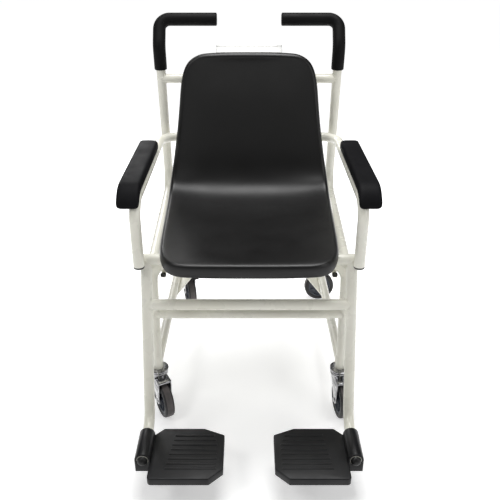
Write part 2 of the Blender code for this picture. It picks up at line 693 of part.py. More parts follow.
def build_arm(label, side):
    """Post, arm and inward bend from one tube, with the pivot pin in its inner end."""
    post_y = CROSS_TUBE_Y - TUBE_DIAMETER - ARM_POST_GAP
    corners = (
        ((side * ARM_X, post_y, ARM_POST_BOTTOM_Z), 0),
        ((side * ARM_X, post_y, ARM_Z), ARM_FRONT_RADIUS),
        ((side * ARM_X, ARM_PIVOT_Y, ARM_Z), ARM_REAR_RADIUS),
        ((side * (ARM_TUBE_END_X + FIT_GAP), ARM_PIVOT_Y, ARM_Z), 0),
    )
    pivot = (side * ARM_TUBE_END_X, ARM_PIVOT_Y, ARM_Z)
    arm = node("armrest_tube_" + label, mesh_from(pipe(rounded_path(corners, BEND_STEPS + 1)), "arm"),
               frame_paint(), pivot)
    socket = TUBE_RADIUS - TUBE_WALL / 2
    pin_profile = (
        (PIVOT_PIN_RADIUS, -PIVOT_PIN_LENGTH), (PIVOT_PIN_RADIUS, FIT_GAP * 2), (socket, FIT_GAP * 2),
        (socket, PIVOT_PIN_SOCKET),
    )
    place = Matrix.Translation(pivot) @ frame_along((side, 0, 0))
    boolean(arm, mesh_from(turned(pin_profile, PIN_SIDES, place), "pin"), "UNION")
    plug = end_plug((side * ARM_X, post_y, ARM_POST_BOTTOM_Z), (0, 0, -1),
                    BORE_RADIUS * cos(pi / TUBE_SIDES),
                    TUBE_RADIUS, PLUG_CAP_THICKNESS)
    node("armrest_post_plug_" + label, mesh_from(plug, "plug"), black_plastic(), pivot)


def build_arm_pad(label, side):
    """A moulded pad on the arm: straight at the back, its nose bent down round the tube's front bend."""
    post_y = CROSS_TUBE_Y - TUBE_DIAMETER - ARM_POST_GAP
    rest = ARM_FRONT_RADIUS + TUBE_RADIUS + 2 * FIT_GAP
    bend_y, bend_z = post_y + ARM_FRONT_RADIUS, ARM_Z - ARM_FRONT_RADIUS
    underside_z = bend_z + rest
    last = (PAD_NOSE_Z - bend_z) / rest
    sweep_angle = pi / 2 - asin(last)
    middle_x = side * (PAD_INNER_X + PAD_WIDTH / 2)
    half = PAD_WIDTH / 2
    # Each station: a point of the underside, the way up from it, the height and the half width there
    stations = [
        (Vector((middle_x, PAD_REAR_Y, underside_z)), 0, PAD_THICKNESS - PAD_EDGE, half - PAD_REAR_CORNER),
        (Vector((middle_x, PAD_REAR_Y - PAD_EDGE / 2, underside_z)), 0, PAD_THICKNESS - PAD_EDGE / 2,
         half - PAD_EDGE),
        (Vector((middle_x, PAD_REAR_Y - PAD_REAR_CORNER, underside_z)), 0, PAD_THICKNESS, half),
        (Vector((middle_x, (PAD_REAR_Y + bend_y) / 2, underside_z)), 0, PAD_THICKNESS, half),
    ]
    for step in range(PAD_STEPS + 1):
        angle = sweep_angle * step / PAD_STEPS
        point = Vector((middle_x, bend_y - rest * sin(angle), bend_z + rest * cos(angle)))
        height = PAD_THICKNESS + (PAD_NOSE_THICKNESS - PAD_THICKNESS) * (step / PAD_STEPS) ** 2
        stations.append((point, angle, height, half if step < PAD_STEPS else half - PAD_EDGE))
    bm = bmesh.new()
    rings = []
    for point, angle, height, wide in stations:
        up = Vector((0, -sin(angle), cos(angle)))
        round_over = min(PAD_EDGE, height / 2)
        outline = (
            (-wide + PAD_EDGE / 2, 0), (wide - PAD_EDGE / 2, 0), (wide, PAD_EDGE / 2),
            (wide, height - round_over),
            (wide - PAD_EDGE * 0.3, height - round_over * 0.3), (wide - PAD_EDGE, height),
            (-wide + PAD_EDGE, height), (-wide + PAD_EDGE * 0.3, height - round_over * 0.3),
            (-wide, height - round_over),
            (-wide, PAD_EDGE / 2),
        )
        rings.append([bm.verts.new(point + Vector((a, 0, 0)) + up * b) for a, b in outline])
    for near, far in zip(rings, rings[1:]):
        for i in range(len(near)):
            j = (i + 1) % len(near)
            bm.faces.new((near[i], near[j], far[j], far[i]))
    bm.faces.new(rings[0])
    bm.faces.new(rings[-1])
    pivot = (side * ARM_TUBE_END_X, ARM_PIVOT_Y, ARM_Z)
    return node("armrest_pad_" + label, mesh_from(bm, "pad"), black_plastic(), pivot)


def seat_row(row):
    """The rim line's y, z and half width at a row, with its dish depth and rim drop."""
    y_share, z_share, width_share, dish_share, drop_share = SEAT_ROW_SHARES[row]
    y = SEAT_FRONT_Y + (SEAT_TOP_Y - SEAT_FRONT_Y) * y_share
    z = SEAT_RIM_Z + (SEAT_TOP_Z - SEAT_RIM_Z) * z_share
    return y, z, SEAT_HALF_WIDTH * width_share, SEAT_DISH * dish_share, SEAT_RIM_DROP * drop_share


def seat_point(row, share):
    """A point of the shell's upper surface: a row, and a share of its half width to the right."""
    y, z, width, dish, _ = seat_row(row)
    before, after = seat_row(max(row - 1, 0)), seat_row(min(row + 1, len(SEAT_ROW_SHARES) - 1))
    along = Vector((0, after[0] - before[0], after[1] - before[1]))
    normal = Vector((1, 0, 0)).cross(along).normalized()
    return Vector((share * width, y, z)) - normal * dish * (1 - abs(share) ** SEAT_DISH_POWER)


def seat_height(x, y):
    """Height of the pan's upper surface over a point of the floor."""
    for row in range(len(SEAT_ROW_SHARES) - 1):
        share = x / seat_row(row)[2]
        near, far = seat_point(row, share), seat_point(row + 1, x / seat_row(row + 1)[2])
        if far.y >= y:
            return near.z + (far.z - near.z) * (y - near.y) / (far.y - near.y)
    return SEAT_RIM_Z


def build_seat_shell():
    """One moulded shell whose edge is rolled outwards and down all round."""
    bm = bmesh.new()
    rows = len(SEAT_ROW_SHARES)
    columns = [2 * i / SEAT_COLUMNS - 1 for i in range(SEAT_COLUMNS + 1)]
    top = [[bm.verts.new(seat_point(row, share)) for share in columns] for row in range(rows)]
    for near, far in zip(top, top[1:]):
        for i in range(SEAT_COLUMNS):
            bm.faces.new((near[i], near[i + 1], far[i + 1], far[i]))
    bm.normal_update()
    facing = {vert: vert.normal.copy() for vert in bm.verts}
    under = [[bm.verts.new(vert.co - facing[vert] * SEAT_WALL) for vert in row] for row in top]
    for near, far in zip(under, under[1:]):
        for i in range(SEAT_COLUMNS):
            bm.faces.new((near[i], far[i], far[i + 1], near[i + 1]))

    def edge_loop(grid):
        front, back = grid[0], grid[-1]
        right = [row[-1] for row in grid[1:-1]]
        left = [row[0] for row in grid[1:-1]]
        return front + right + list(reversed(back)) + list(reversed(left))

    edge, inner = edge_loop(top), edge_loop(under)
    drops = {vert: seat_row(row)[4] for row, verts in enumerate(top) for vert in verts}
    count = len(edge)
    lip_shares = ((0.60, 0.12), (0.95, 0.50), (1.00, 1.00), (0.55, 1.00))
    lips = [[] for _ in lip_shares]
    for i, vert in enumerate(edge):
        along = edge[(i + 1) % count].co - edge[i - 1].co
        out = along.cross(facing[vert]).normalized()
        for lip, (out_share, down_share) in zip(lips, lip_shares):
            lip.append(bm.verts.new(vert.co + out * SEAT_RIM_OUT * out_share
                                    - facing[vert] * drops[vert] * down_share))
    loops = [edge, *lips, inner]
    for near, far in zip(loops, loops[1:]):
        for i in range(count):
            j = (i + 1) % count
            bm.faces.new((near[i], far[i], far[j], near[j]))
    shell = node("seat_shell", mesh_from(bm, "shell"), black_plastic())
    boss_low = SUPPORT_BAR_Z + SUPPORT_BAR_THICKNESS + FIT_GAP
    for y in SUPPORT_BAR_YS:
        for side in (-1, 1):
            x = side * SEAT_MOUNT_X
            boss_high = seat_height(x, y) - SEAT_WALL / 2
            boss = cylinder((x, y, boss_low), (x, y, boss_high), SEAT_MOUNT_RADIUS, PIN_SIDES)
            boolean(shell, mesh_from(boss, "boss"), "UNION")
    return shell


def bar_end_x(y):
    """Where a support bar stops against the seat rail."""
    share = (y - CROSS_TUBE_Y) / (UPRIGHT_Y - CROSS_TUBE_Y)
    return RAIL_FRONT_X + (UPRIGHT_BOTTOM_X - RAIL_FRONT_X) * share


def build_seat_support_frame():
    """Two flat bars from rail to rail, welded on the plate that lies on the load cell."""
    reach = UPRIGHT_Y - CROSS_TUBE_Y
    top_low = cell_levels()[3] + FIT_GAP
    plate = box((-TOP_PLATE_WIDTH / 2, TOP_PLATE_FRONT_Y, top_low),
                (TOP_PLATE_WIDTH / 2, TOP_PLATE_REAR_Y, SUPPORT_BAR_Z + PLATE_WELD))
    support = node("seat_support_frame", mesh_from(plate, "plate"), frame_paint())
    for y in SUPPORT_BAR_YS:
        half = bar_end_x(y)
        bar = box((-half, y - SUPPORT_BAR_WIDTH / 2, SUPPORT_BAR_Z),
                  (half, y + SUPPORT_BAR_WIDTH / 2, SUPPORT_BAR_Z + SUPPORT_BAR_THICKNESS))
        boolean(support, mesh_from(bar, "bar"), "UNION")
    for side in (-1, 1):
        cope(support, (side * RAIL_FRONT_X, CROSS_TUBE_Y, RAIL_Z),
             (side * UPRIGHT_BOTTOM_X, CROSS_TUBE_Y + reach, RAIL_Z))
    for y in stud_places()[1]:
        stud = cylinder((0, y, top_low + PLATE_WELD), (0, y, top_low - CELL_STUD_LENGTH), CELL_STUD_RADIUS,
                        BOLT_SIDES)
        boolean(support, mesh_from(stud, "stud"), "UNION")


def cell_levels():
    """Heights of the base plate's underside and top, and of the load cell's underside and top."""
    base_low = HOOP_TOP_Z + TUBE_RADIUS + FIT_GAP
    base_high = base_low + BASE_PLATE_THICKNESS
    cell_low = base_high + FIT_GAP
    return base_low, base_high, cell_low, cell_low + CELL_HEIGHT + 2 * CELL_PAD_HEIGHT


def stud_places():
    """Y of the two studs at the cell's front and of the two at its rear."""
    cell_rear = CELL_FRONT_Y + CELL_LENGTH
    front = [CELL_FRONT_Y + CELL_STUD_EDGE + step * CELL_STUD_PITCH for step in range(2)]
    rear = [cell_rear - CELL_STUD_EDGE - step * CELL_STUD_PITCH for step in range(2)]
    return front, rear


def build_load_cell():
    """Base plate on the hoop, and the beam cell that it holds up at its front end."""
    base_low, base_high, cell_low, cell_high = cell_levels()
    cell_rear = CELL_FRONT_Y + CELL_LENGTH
    body = box((-CELL_WIDTH / 2, CELL_FRONT_Y, cell_low + CELL_PAD_HEIGHT),
               (CELL_WIDTH / 2, cell_rear, cell_high - CELL_PAD_HEIGHT))
    cell = node("load_cell", mesh_from(body, "cell"), aluminium())
    overlap = CELL_PAD_HEIGHT
    front_pad = box((-CELL_WIDTH / 2, CELL_FRONT_Y, cell_low),
                    (CELL_WIDTH / 2, CELL_FRONT_Y + CELL_PAD_LENGTH, cell_low + CELL_PAD_HEIGHT + overlap))
    rear_pad = box((-CELL_WIDTH / 2, cell_rear - CELL_PAD_LENGTH, cell_high - CELL_PAD_HEIGHT - overlap),
                   (CELL_WIDTH / 2, cell_rear, cell_high))
    boolean(cell, mesh_from(front_pad, "pad"), "UNION")
    boolean(cell, mesh_from(rear_pad, "pad"), "UNION")
    middle_y = CELL_FRONT_Y + CELL_LENGTH / 2
    middle_z = (cell_low + cell_high) / 2
    for y in (middle_y - CELL_WINDOW_RADIUS, middle_y + CELL_WINDOW_RADIUS):
        window = cylinder((-CELL_WIDTH, y, middle_z), (CELL_WIDTH, y, middle_z),
                          CELL_WINDOW_RADIUS + FIT_GAP, PIN_SIDES)
        boolean(cell, mesh_from(window, "window"))
    base = box((-BASE_PLATE_WIDTH / 2, BASE_PLATE_FRONT_Y, base_low),
               (BASE_PLATE_WIDTH / 2, BASE_PLATE_REAR_Y, base_high))
    base_plate = node("load_cell_base_plate", mesh_from(base, "plate"), steel())
    hole = (CELL_STUD_RADIUS + FIT_GAP) / cos(pi / BOLT_SIDES)
    depth = CELL_STUD_LENGTH + FIT_GAP
    front, rear = stud_places()
    for y in front:
        stud = cylinder((0, y, base_high - PLATE_WELD), (0, y, cell_low + CELL_STUD_LENGTH),
                        CELL_STUD_RADIUS, BOLT_SIDES)
        boolean(base_plate, mesh_from(stud, "stud"), "UNION")
        boolean(cell, mesh_from(cylinder((0, y, cell_low - CUT_OVERRUN), (0, y, cell_low + depth), hole,
                                         BOLT_SIDES), "hole"))
    for y in rear:
        boolean(cell, mesh_from(cylinder((0, y, cell_high + CUT_OVERRUN), (0, y, cell_high - depth), hole,
                                         BOLT_SIDES), "hole"))


def build_hoop():
    """Front hoop: two uprights over the front casters, joined across the top."""
    left = [
        ((-CHASSIS_X, CHASSIS_FRONT_Y, CASTER_HEIGHT), 0),
        ((-CHASSIS_X, CHASSIS_FRONT_Y, HOOP_KINK_Z), HOOP_KINK_RADIUS),
        ((-CHASSIS_X, HOOP_TOP_Y, HOOP_TOP_Z), HOOP_TOP_RADIUS),
    ]
    right = [((-x, y, z), radius) for (x, y, z), radius in reversed(left)]
    return node("front_hoop", mesh_from(pipe(rounded_path(left + right)), "hoop"), frame_paint())


def build_side_rail(label, side):
    """Chassis rail with the triangular plate welded under its rear end, which carries a caster."""
    path = [Vector((side * CHASSIS_X, CHASSIS_FRONT_Y, CHASSIS_RAIL_Z)),
            Vector((side * CHASSIS_REAR_X, CHASSIS_REAR_Y, CHASSIS_RAIL_Z))]
    rail = node("side_rail_" + label, mesh_from(pipe(path), "rail"), frame_paint())
    cope(rail, (side * CHASSIS_X, CHASSIS_FRONT_Y, CASTER_HEIGHT),
         (side * CHASSIS_X, CHASSIS_FRONT_Y, HOOP_KINK_Z))
    outline = [(side * CHASSIS_REAR_X, GUSSET_FRONT_Y), (side * CHASSIS_REAR_X, CHASSIS_REAR_Y),
               (side * GUSSET_INNER_X, CHASSIS_REAR_Y)]
    gusset = prism(outline, GUSSET_THICKNESS, Matrix.Translation((0, 0, CASTER_HEIGHT)))
    boolean(rail, mesh_from(gusset, "gusset"), "UNION")
    weld_x = sorted((side * (CHASSIS_REAR_X - GUSSET_WELD_WIDTH), side * (CHASSIS_REAR_X - FIT_GAP)))
    weld_y = (GUSSET_FRONT_Y + CHASSIS_REAR_Y) / 2, REAR_CROSS_Y - TUBE_RADIUS - GUSSET_WELD_WIDTH
    weld_z = CASTER_HEIGHT + GUSSET_THICKNESS / 2, CHASSIS_RAIL_Z - TUBE_RADIUS + TUBE_WALL * 0.6
    weld = box((weld_x[0], weld_y[0], weld_z[0]), (weld_x[1], weld_y[1], weld_z[1]))
    boolean(rail, mesh_from(weld, "weld"), "UNION")
    hole = (STEM_RADIUS + FIT_GAP) / cos(pi / ROUND_SIDES)
    low, high = CASTER_HEIGHT - CUT_OVERRUN, CASTER_HEIGHT + GUSSET_THICKNESS + FIT_GAP
    boolean(rail, mesh_from(cylinder((side * REAR_CASTER_X, REAR_CASTER_Y, low),
                                     (side * REAR_CASTER_X, REAR_CASTER_Y, high), hole), "hole"))
    return rail


def build_chassis():
    build_hoop()
    for label, side in (("left", -1), ("right", 1)):
        build_side_rail(label, side)
    low, high = CHASSIS_CROSSBAR_Z - TUBE_DIAMETER, CHASSIS_CROSSBAR_Z + TUBE_DIAMETER
    build_crossbar("chassis_crossbar", CHASSIS_X, hoop_y(CHASSIS_CROSSBAR_Z), CHASSIS_CROSSBAR_Z,
                   (((CHASSIS_X, hoop_y(low), low), (CHASSIS_X, hoop_y(high), high)),))
    rail_line = ((CHASSIS_X, CHASSIS_FRONT_Y, CHASSIS_RAIL_Z),
                 (CHASSIS_REAR_X, CHASSIS_REAR_Y, CHASSIS_RAIL_Z))
    build_crossbar("rear_cross_tube", CHASSIS_REAR_X, REAR_CROSS_Y, CHASSIS_RAIL_Z, (rail_line,))
    spine_path = [Vector((0, REAR_CROSS_Y, CHASSIS_RAIL_Z)), Vector((0, HOOP_TOP_Y, HOOP_TOP_Z))]
    spine = node("centre_spine", mesh_from(pipe(spine_path), "spine"), frame_paint())
    half = TUBE_DIAMETER
    cope(spine, (-half, REAR_CROSS_Y, CHASSIS_RAIL_Z), (half, REAR_CROSS_Y, CHASSIS_RAIL_Z))
    cope(spine, (-half, HOOP_TOP_Y, HOOP_TOP_Z), (half, HOOP_TOP_Y, HOOP_TOP_Z))


def caster_head(x, y, stem_length):
    """Fixed bearing head with a stem that goes up into the frame."""
    top = CASTER_HEIGHT - 2 * FIT_GAP
    profile = (
        (HEAD_RADIUS, top - HEAD_THICKNESS), (HEAD_RADIUS, top), (STEM_RADIUS, top),
        (STEM_RADIUS, top + stem_length),
    )
    return turned(profile, ROUND_SIDES, Matrix.Translation((x, y, 0)))


def build_fork(label, place, braked):
    """Pressed fork: a bent U cut to its side shape, under a round swivel housing."""
    inner = WHEEL_WIDTH / 2 + WHEEL_SIDE_GAP
    outer = inner + FORK_THICKNESS
    bottom = WHEEL_RADIUS - 2 * FORK_LOBE
    arch = (
        (-outer, bottom), (-inner, bottom), (-inner, FORK_TOP_Z - FORK_CROWN),
        (inner, FORK_TOP_Z - FORK_CROWN),
        (inner, bottom), (outer, bottom), (outer, FORK_TOP_Z), (-outer, FORK_TOP_Z),
    )
    length = FORK_REACH + FORK_HALF_LENGTH + 2 * CUT_OVERRUN
    upright = Matrix(((1, 0, 0, 0), (0, 0, 1, -FORK_REACH - CUT_OVERRUN), (0, 1, 0, 0), (0, 0, 0, 1)))
    arch_mesh = mesh_from(moved(prism(arch, length, upright), place), "fork")
    fork = node("caster_fork_" + label, arch_mesh, chrome(), place.translation)
    lobe = [(-CASTER_TRAIL + FORK_LOBE * cos(a), WHEEL_RADIUS + FORK_LOBE * sin(a))
            for a in (-pi * 0.9, -pi * 0.7, -pi * 0.5, -pi * 0.3, -pi * 0.1)]
    side_shape = lobe + [
        (FORK_HALF_LENGTH, FORK_TOP_Z - 2 * FORK_CROWN), (FORK_HALF_LENGTH, FORK_TOP_Z + CUT_OVERRUN),
        (-FORK_REACH, FORK_TOP_Z + CUT_OVERRUN), (-FORK_REACH, FORK_TOP_Z - 2 * FORK_CROWN),
    ]
    sideways = Matrix(((0, 0, 1, -outer - CUT_OVERRUN), (1, 0, 0, 0), (0, 1, 0, 0), (0, 0, 0, 1)))
    keep = moved(prism(side_shape, 2 * (outer + CUT_OVERRUN), sideways), place)
    boolean(fork, mesh_from(keep, "side"), "INTERSECT")
    lid = (
        (SWIVEL_RADIUS * 0.5, FORK_TOP_Z - FORK_CROWN / 2), (SWIVEL_RADIUS, FORK_TOP_Z),
        (SWIVEL_RADIUS, SWIVEL_TOP_Z - FORK_CROWN / 4), (SWIVEL_RADIUS * 0.92, SWIVEL_TOP_Z),
    )
    boolean(fork, mesh_from(turned(lid, ROUND_SIDES, place), "lid"), "UNION")
    bore = (AXLE_RADIUS + FIT_GAP) / cos(pi / ROUND_SIDES)
    boolean(fork, mesh_from(cylinder(place @ Vector((-outer - CUT_OVERRUN, -CASTER_TRAIL, WHEEL_RADIUS)),
                                     place @ Vector((outer + CUT_OVERRUN, -CASTER_TRAIL, WHEEL_RADIUS)),
                                     bore), "bore"))
    head = outer - FIT_GAP
    tip = head + AXLE_HEAD_THICKNESS
    axle_profile = (
        (AXLE_HEAD_RADIUS, -tip), (AXLE_HEAD_RADIUS, -head), (AXLE_RADIUS, -head), (AXLE_RADIUS, head),
        (AXLE_HEAD_RADIUS, head), (AXLE_HEAD_RADIUS, tip),
    )
    across = place @ Matrix.Translation((0, -CASTER_TRAIL, WHEEL_RADIUS)) @ frame_along((1, 0, 0))
    boolean(fork, mesh_from(turned(axle_profile, BOLT_SIDES, across), "axle"), "UNION")
    if braked:
        pin_y = -FORK_REACH * PEDAL_PIVOT_SHARE
        pin_z = FORK_TOP_Z - FORK_CROWN / 2
        reach = outer + FIT_GAP + PEDAL_EAR
        pin = cylinder(place @ Vector((-reach, pin_y, pin_z)), place @ Vector((reach, pin_y, pin_z)),
                       PEDAL_PIVOT_RADIUS, BOLT_SIDES)
        boolean(fork, mesh_from(pin, "pin"), "UNION")


def build_wheel(label, place):
    """Tyre and hub, turned about the axle."""
    across = place @ Matrix.Translation((0, -CASTER_TRAIL, WHEEL_RADIUS)) @ frame_along((1, 0, 0))
    half = WHEEL_WIDTH / 2
    seat = WHEEL_RADIUS - TYRE_DEPTH
    tyre = (
        (seat, -half + TYRE_SHOULDER / 3), (seat + TYRE_DEPTH * 0.4, -half),
        (WHEEL_RADIUS - TYRE_SHOULDER / 2, -half * 0.8),
        (WHEEL_RADIUS, -half * 0.35), (WHEEL_RADIUS, half * 0.35),
        (WHEEL_RADIUS - TYRE_SHOULDER / 2, half * 0.8),
        (seat + TYRE_DEPTH * 0.4, half), (seat, half - TYRE_SHOULDER / 3),
    )
    axle = across.translation
    node("caster_tyre_" + label, mesh_from(turned(tyre, WHEEL_SIDES, across, closed=True), "tyre"),
         rubber(), axle)
    rim = seat * cos(pi / WHEEL_SIDES) - FIT_GAP
    web = HUB_WEB_WIDTH / 2
    bore = (AXLE_RADIUS + AXLE_CLEARANCE) / cos(pi / WHEEL_SIDES)
    hub = (
        (bore, -half), (HUB_BOSS_RADIUS, -half), (HUB_BOSS_RADIUS, -web), (rim - HUB_RIM_DEPTH, -web),
        (rim - HUB_RIM_DEPTH, -HUB_RIM_WIDTH / 2), (rim, -HUB_RIM_WIDTH / 2), (rim, HUB_RIM_WIDTH / 2),
        (rim - HUB_RIM_DEPTH, HUB_RIM_WIDTH / 2), (rim - HUB_RIM_DEPTH, web), (HUB_BOSS_RADIUS, web),
        (HUB_BOSS_RADIUS, half), (bore, half),
    )
    grey = material("wheel_grey", (0.20, 0.23, 0.28), 0.45)
    node("caster_hub_" + label, mesh_from(turned(hub, WHEEL_SIDES, across, closed=True), "hub"), grey, axle)


def build_pedal(label, place):
    """Brake pedal: a bent plate with two ears on the pin at the fork's crown."""
    outer = WHEEL_WIDTH / 2 + WHEEL_SIDE_GAP + FORK_THICKNESS + FIT_GAP
    wide = outer + PEDAL_EAR
    pin_y = -FORK_REACH * PEDAL_PIVOT_SHARE
    pin_z = FORK_TOP_Z - FORK_CROWN / 2
    roof = pin_z + PEDAL_RISE
    floor = pin_z - PEDAL_RISE * 0.7
    under, over = floor - CUT_OVERRUN, roof + CUT_OVERRUN
    arch = ((-wide, under), (-outer, under), (-outer, roof - PEDAL_PLATE), (outer, roof - PEDAL_PLATE),
            (outer, under), (wide, under), (wide, over), (-wide, over))
    near_y = -FORK_REACH - FIT_GAP
    far_y = near_y - PEDAL_LENGTH
    ear_back = pin_y + PEDAL_RISE * 0.6
    upright = Matrix(((1, 0, 0, 0), (0, 0, 1, far_y - CUT_OVERRUN), (0, 1, 0, 0), (0, 0, 0, 1)))
    arch_mesh = mesh_from(moved(prism(arch, ear_back - far_y + 2 * CUT_OVERRUN, upright), place), "pedal")
    pedal = node("brake_pedal_" + label, arch_mesh, black_plastic(), place @ Vector((0, pin_y, pin_z)))
    side_shape = (
        (ear_back, floor), (ear_back, pin_z + PEDAL_RISE * 0.35), (near_y, pin_z + PEDAL_RISE * 0.35),
        (near_y - PEDAL_PLATE, roof), (far_y, roof), (far_y, roof - PEDAL_PLATE),
        (near_y - PEDAL_RISE, roof - PEDAL_PLATE), (near_y - PEDAL_RISE * 0.5, floor),
    )
    sideways = Matrix(((0, 0, 1, -wide - CUT_OVERRUN), (1, 0, 0, 0), (0, 1, 0, 0), (0, 0, 0, 1)))
    keep = moved(prism(side_shape, 2 * (wide + CUT_OVERRUN), sideways), place)
    boolean(pedal, mesh_from(keep, "side"), "INTERSECT")
    hole = (PEDAL_PIVOT_RADIUS + FIT_GAP) / cos(pi / BOLT_SIDES)
    cut = cylinder(place @ Vector((-wide - CUT_OVERRUN, pin_y, pin_z)),
                   place @ Vector((wide + CUT_OVERRUN, pin_y, pin_z)),
                   hole, BOLT_SIDES)
    boolean(pedal, mesh_from(cut, "hole"))


def build_casters():
    for label, x, y, heading in CASTERS:
        stem_length = FRONT_STEM_LENGTH if y < 0 else GUSSET_THICKNESS + 2 * FIT_GAP
        node("caster_head_" + label, mesh_from(caster_head(x, y, stem_length), "head"), steel())
        place = Matrix.Translation((x, y, 0)) @ Matrix.Rotation(heading, 4, "Z")
        braked = label.startswith("rear")
        build_fork(label, place, braked)
        build_wheel(label, place)
        if braked:
            build_pedal(label, place)


def build_footplate(label, side):
    """Tread plate with clipped corners, moulded in one with the housing that turns on the tube."""
    rear_in, rear_back = PLATE_REAR_CHAMFER
    front_in, front_back = PLATE_FRONT_CHAMFER
    outer_in, outer_back = PLATE_OUTER_CHAMFER
    outline = [
        (PLATE_OUTER_X, PLATE_FRONT_Y), (PLATE_INNER_X + front_in, PLATE_FRONT_Y),
        (PLATE_INNER_X, PLATE_FRONT_Y + front_back), (PLATE_INNER_X, PLATE_REAR_Y - rear_back),
        (PLATE_INNER_X + rear_in, PLATE_REAR_Y), (PLATE_OUTER_X - outer_in, PLATE_REAR_Y),
        (PLATE_OUTER_X, PLATE_REAR_Y - outer_back),
    ]
    outline = [(side * x, y) for x, y in outline]
    low = PLATE_TOP_Z - PLATE_THICKNESS
    slab = prism(outline, PLATE_THICKNESS, Matrix.Translation((0, 0, low)))
    bmesh.ops.recalc_face_normals(slab, faces=slab.faces)
    rims = [edge for edge in slab.edges if abs(edge.verts[0].co.z - edge.verts[1].co.z) < FIT_GAP]
    bmesh.ops.bevel(slab, geom=rims, offset=PLATE_EDGE, segments=1, profile=0.5, affect="EDGES")
    pivot = (side * LEG_X, HOUSING_REAR_Y, FOOT_TUBE_Z)
    plate = node("footplate_" + label, mesh_from(slab, "plate"), black_plastic(), pivot)
    half = HOUSING_WIDTH / 2
    arc = [(half * cos(pi * i / HOUSING_ARC_STEPS), half * sin(pi * i / HOUSING_ARC_STEPS))
           for i in range(HOUSING_ARC_STEPS + 1)]
    floor = HOUSING_BOTTOM_Z - FOOT_TUBE_Z
    section = arc + [(-half, floor), (half, floor)]
    upright = Matrix(((1, 0, 0, side * LEG_X), (0, 0, 1, FOOT_TUBE_END_Y), (0, 1, 0, FOOT_TUBE_Z),
                      (0, 0, 0, 1)))
    housing = prism(section, HOUSING_REAR_Y - FOOT_TUBE_END_Y, upright)
    boolean(plate, mesh_from(housing, "housing"), "UNION")
    bore = (TUBE_RADIUS + HOUSING_BORE_GAP) / cos(pi / ROUND_SIDES)
    boolean(plate, mesh_from(cylinder((side * LEG_X, PLATE_FRONT_Y - CUT_OVERRUN, FOOT_TUBE_Z),
                                      (side * LEG_X, PLATE_REAR_Y + CUT_OVERRUN, FOOT_TUBE_Z), bore),
                                      "bore"))


def indicator_place():
    """Local frame of the indicator: X across, Y up its face, Z out of the screen towards the carer."""
    out = Vector((0, cos(INDICATOR_TILT), sin(INDICATOR_TILT)))
    up = Vector((0, -sin(INDICATOR_TILT), cos(INDICATOR_TILT)))
    across = up.cross(out)
    corner = Vector((0, INDICATOR_TOP_Y, INDICATOR_TOP_Z))
    centre = corner - up * INDICATOR_HEIGHT / 2
    return Matrix((
        (across.x, up.x, out.x, centre.x), (across.y, up.y, out.y, centre.y),
        (across.z, up.z, out.z, centre.z),
        (0, 0, 0, 1),
    ))


def build_indicator():
    place = indicator_place()
    half_w, half_h = INDICATOR_WIDTH / 2, INDICATOR_HEIGHT / 2
    wall = INDICATOR_WALL
    casing = material("casing_grey", (0.70, 0.70, 0.68), 0.45)
    shell = moved(box((-half_w, -half_h, 0), (half_w, half_h, INDICATOR_REAR_DEPTH)), place)
    rear = node("indicator_rear_housing", mesh_from(shell, "casing"), casing)
    hollow = moved(box((-half_w + wall, -half_h + wall, wall),
                       (half_w - wall, half_h - wall, INDICATOR_REAR_DEPTH + CUT_OVERRUN)), place)
    boolean(rear, mesh_from(hollow, "hollow"))
    cover_low = INDICATOR_REAR_DEPTH + FIT_GAP
    cover_high = cover_low + INDICATOR_COVER_DEPTH
    lid = moved(box((-half_w, -half_h, cover_low), (half_w, half_h, cover_high)), place)
    cover = node("indicator_front_housing", mesh_from(lid, "casing"), casing)
    under = moved(box((-half_w + wall, -half_h + wall, cover_low - CUT_OVERRUN),
                      (half_w - wall, half_h - wall, cover_high - wall)), place)
    boolean(cover, mesh_from(under, "hollow"))
    win_w, win_h = WINDOW_WIDTH / 2, WINDOW_HEIGHT / 2
    opening = moved(box((-win_w, WINDOW_LIFT - win_h, cover_low),
                        (win_w, WINDOW_LIFT + win_h, cover_high + CUT_OVERRUN)), place)
    boolean(cover, mesh_from(opening, "opening"))
    glass = material("window_glass", (0.10, 0.12, 0.12), 0.08)
    edge = FIT_GAP
    pane = moved(box((-win_w + edge, WINDOW_LIFT - win_h + edge, cover_high - WINDOW_THICKNESS),
                     (win_w - edge, WINDOW_LIFT + win_h - edge, cover_high)), place)
    node("display_window", mesh_from(pane, "pane"), glass)
    board_low = INDICATOR_REAR_DEPTH - BOARD_INSET
    board = moved(box((-half_w + wall + edge, -half_h + wall + edge, board_low),
                      (half_w - wall - edge, half_h - wall - edge, board_low + BOARD_THICKNESS)), place)
    node("display_board", mesh_from(board, "board"), material("board_green", (0.03, 0.16, 0.07), 0.5))
    key_colour = material("key_blue_grey", (0.20, 0.24, 0.30), 0.5)
    holes = []
    for index in range(KEY_COUNT):
        x = (index - (KEY_COUNT - 1) / 2) * KEY_PITCH
        key_top = cover_high + KEY_PROUD
        key = moved(box((x - KEY_WIDTH / 2, -KEY_DROP - KEY_HEIGHT / 2, key_top - KEY_DEPTH),
                        (x + KEY_WIDTH / 2, -KEY_DROP + KEY_HEIGHT / 2, key_top)), place)
        key_centre = place @ Vector((x, -KEY_DROP, key_top))
        node("indicator_key_%d" % (index + 1), mesh_from(key, "key"), key_colour, key_centre)
        grow = 2 * FIT_GAP
        holes.append(moved(box((x - KEY_WIDTH / 2 - grow, -KEY_DROP - KEY_HEIGHT / 2 - grow, cover_low),
                               (x + KEY_WIDTH / 2 + grow, -KEY_DROP + KEY_HEIGHT / 2 + grow,
                                cover_high + CUT_OVERRUN)), place))
    for hole in holes:
        boolean(cover, mesh_from(hole, "key_hole"))
    build_indicator_bracket(place)


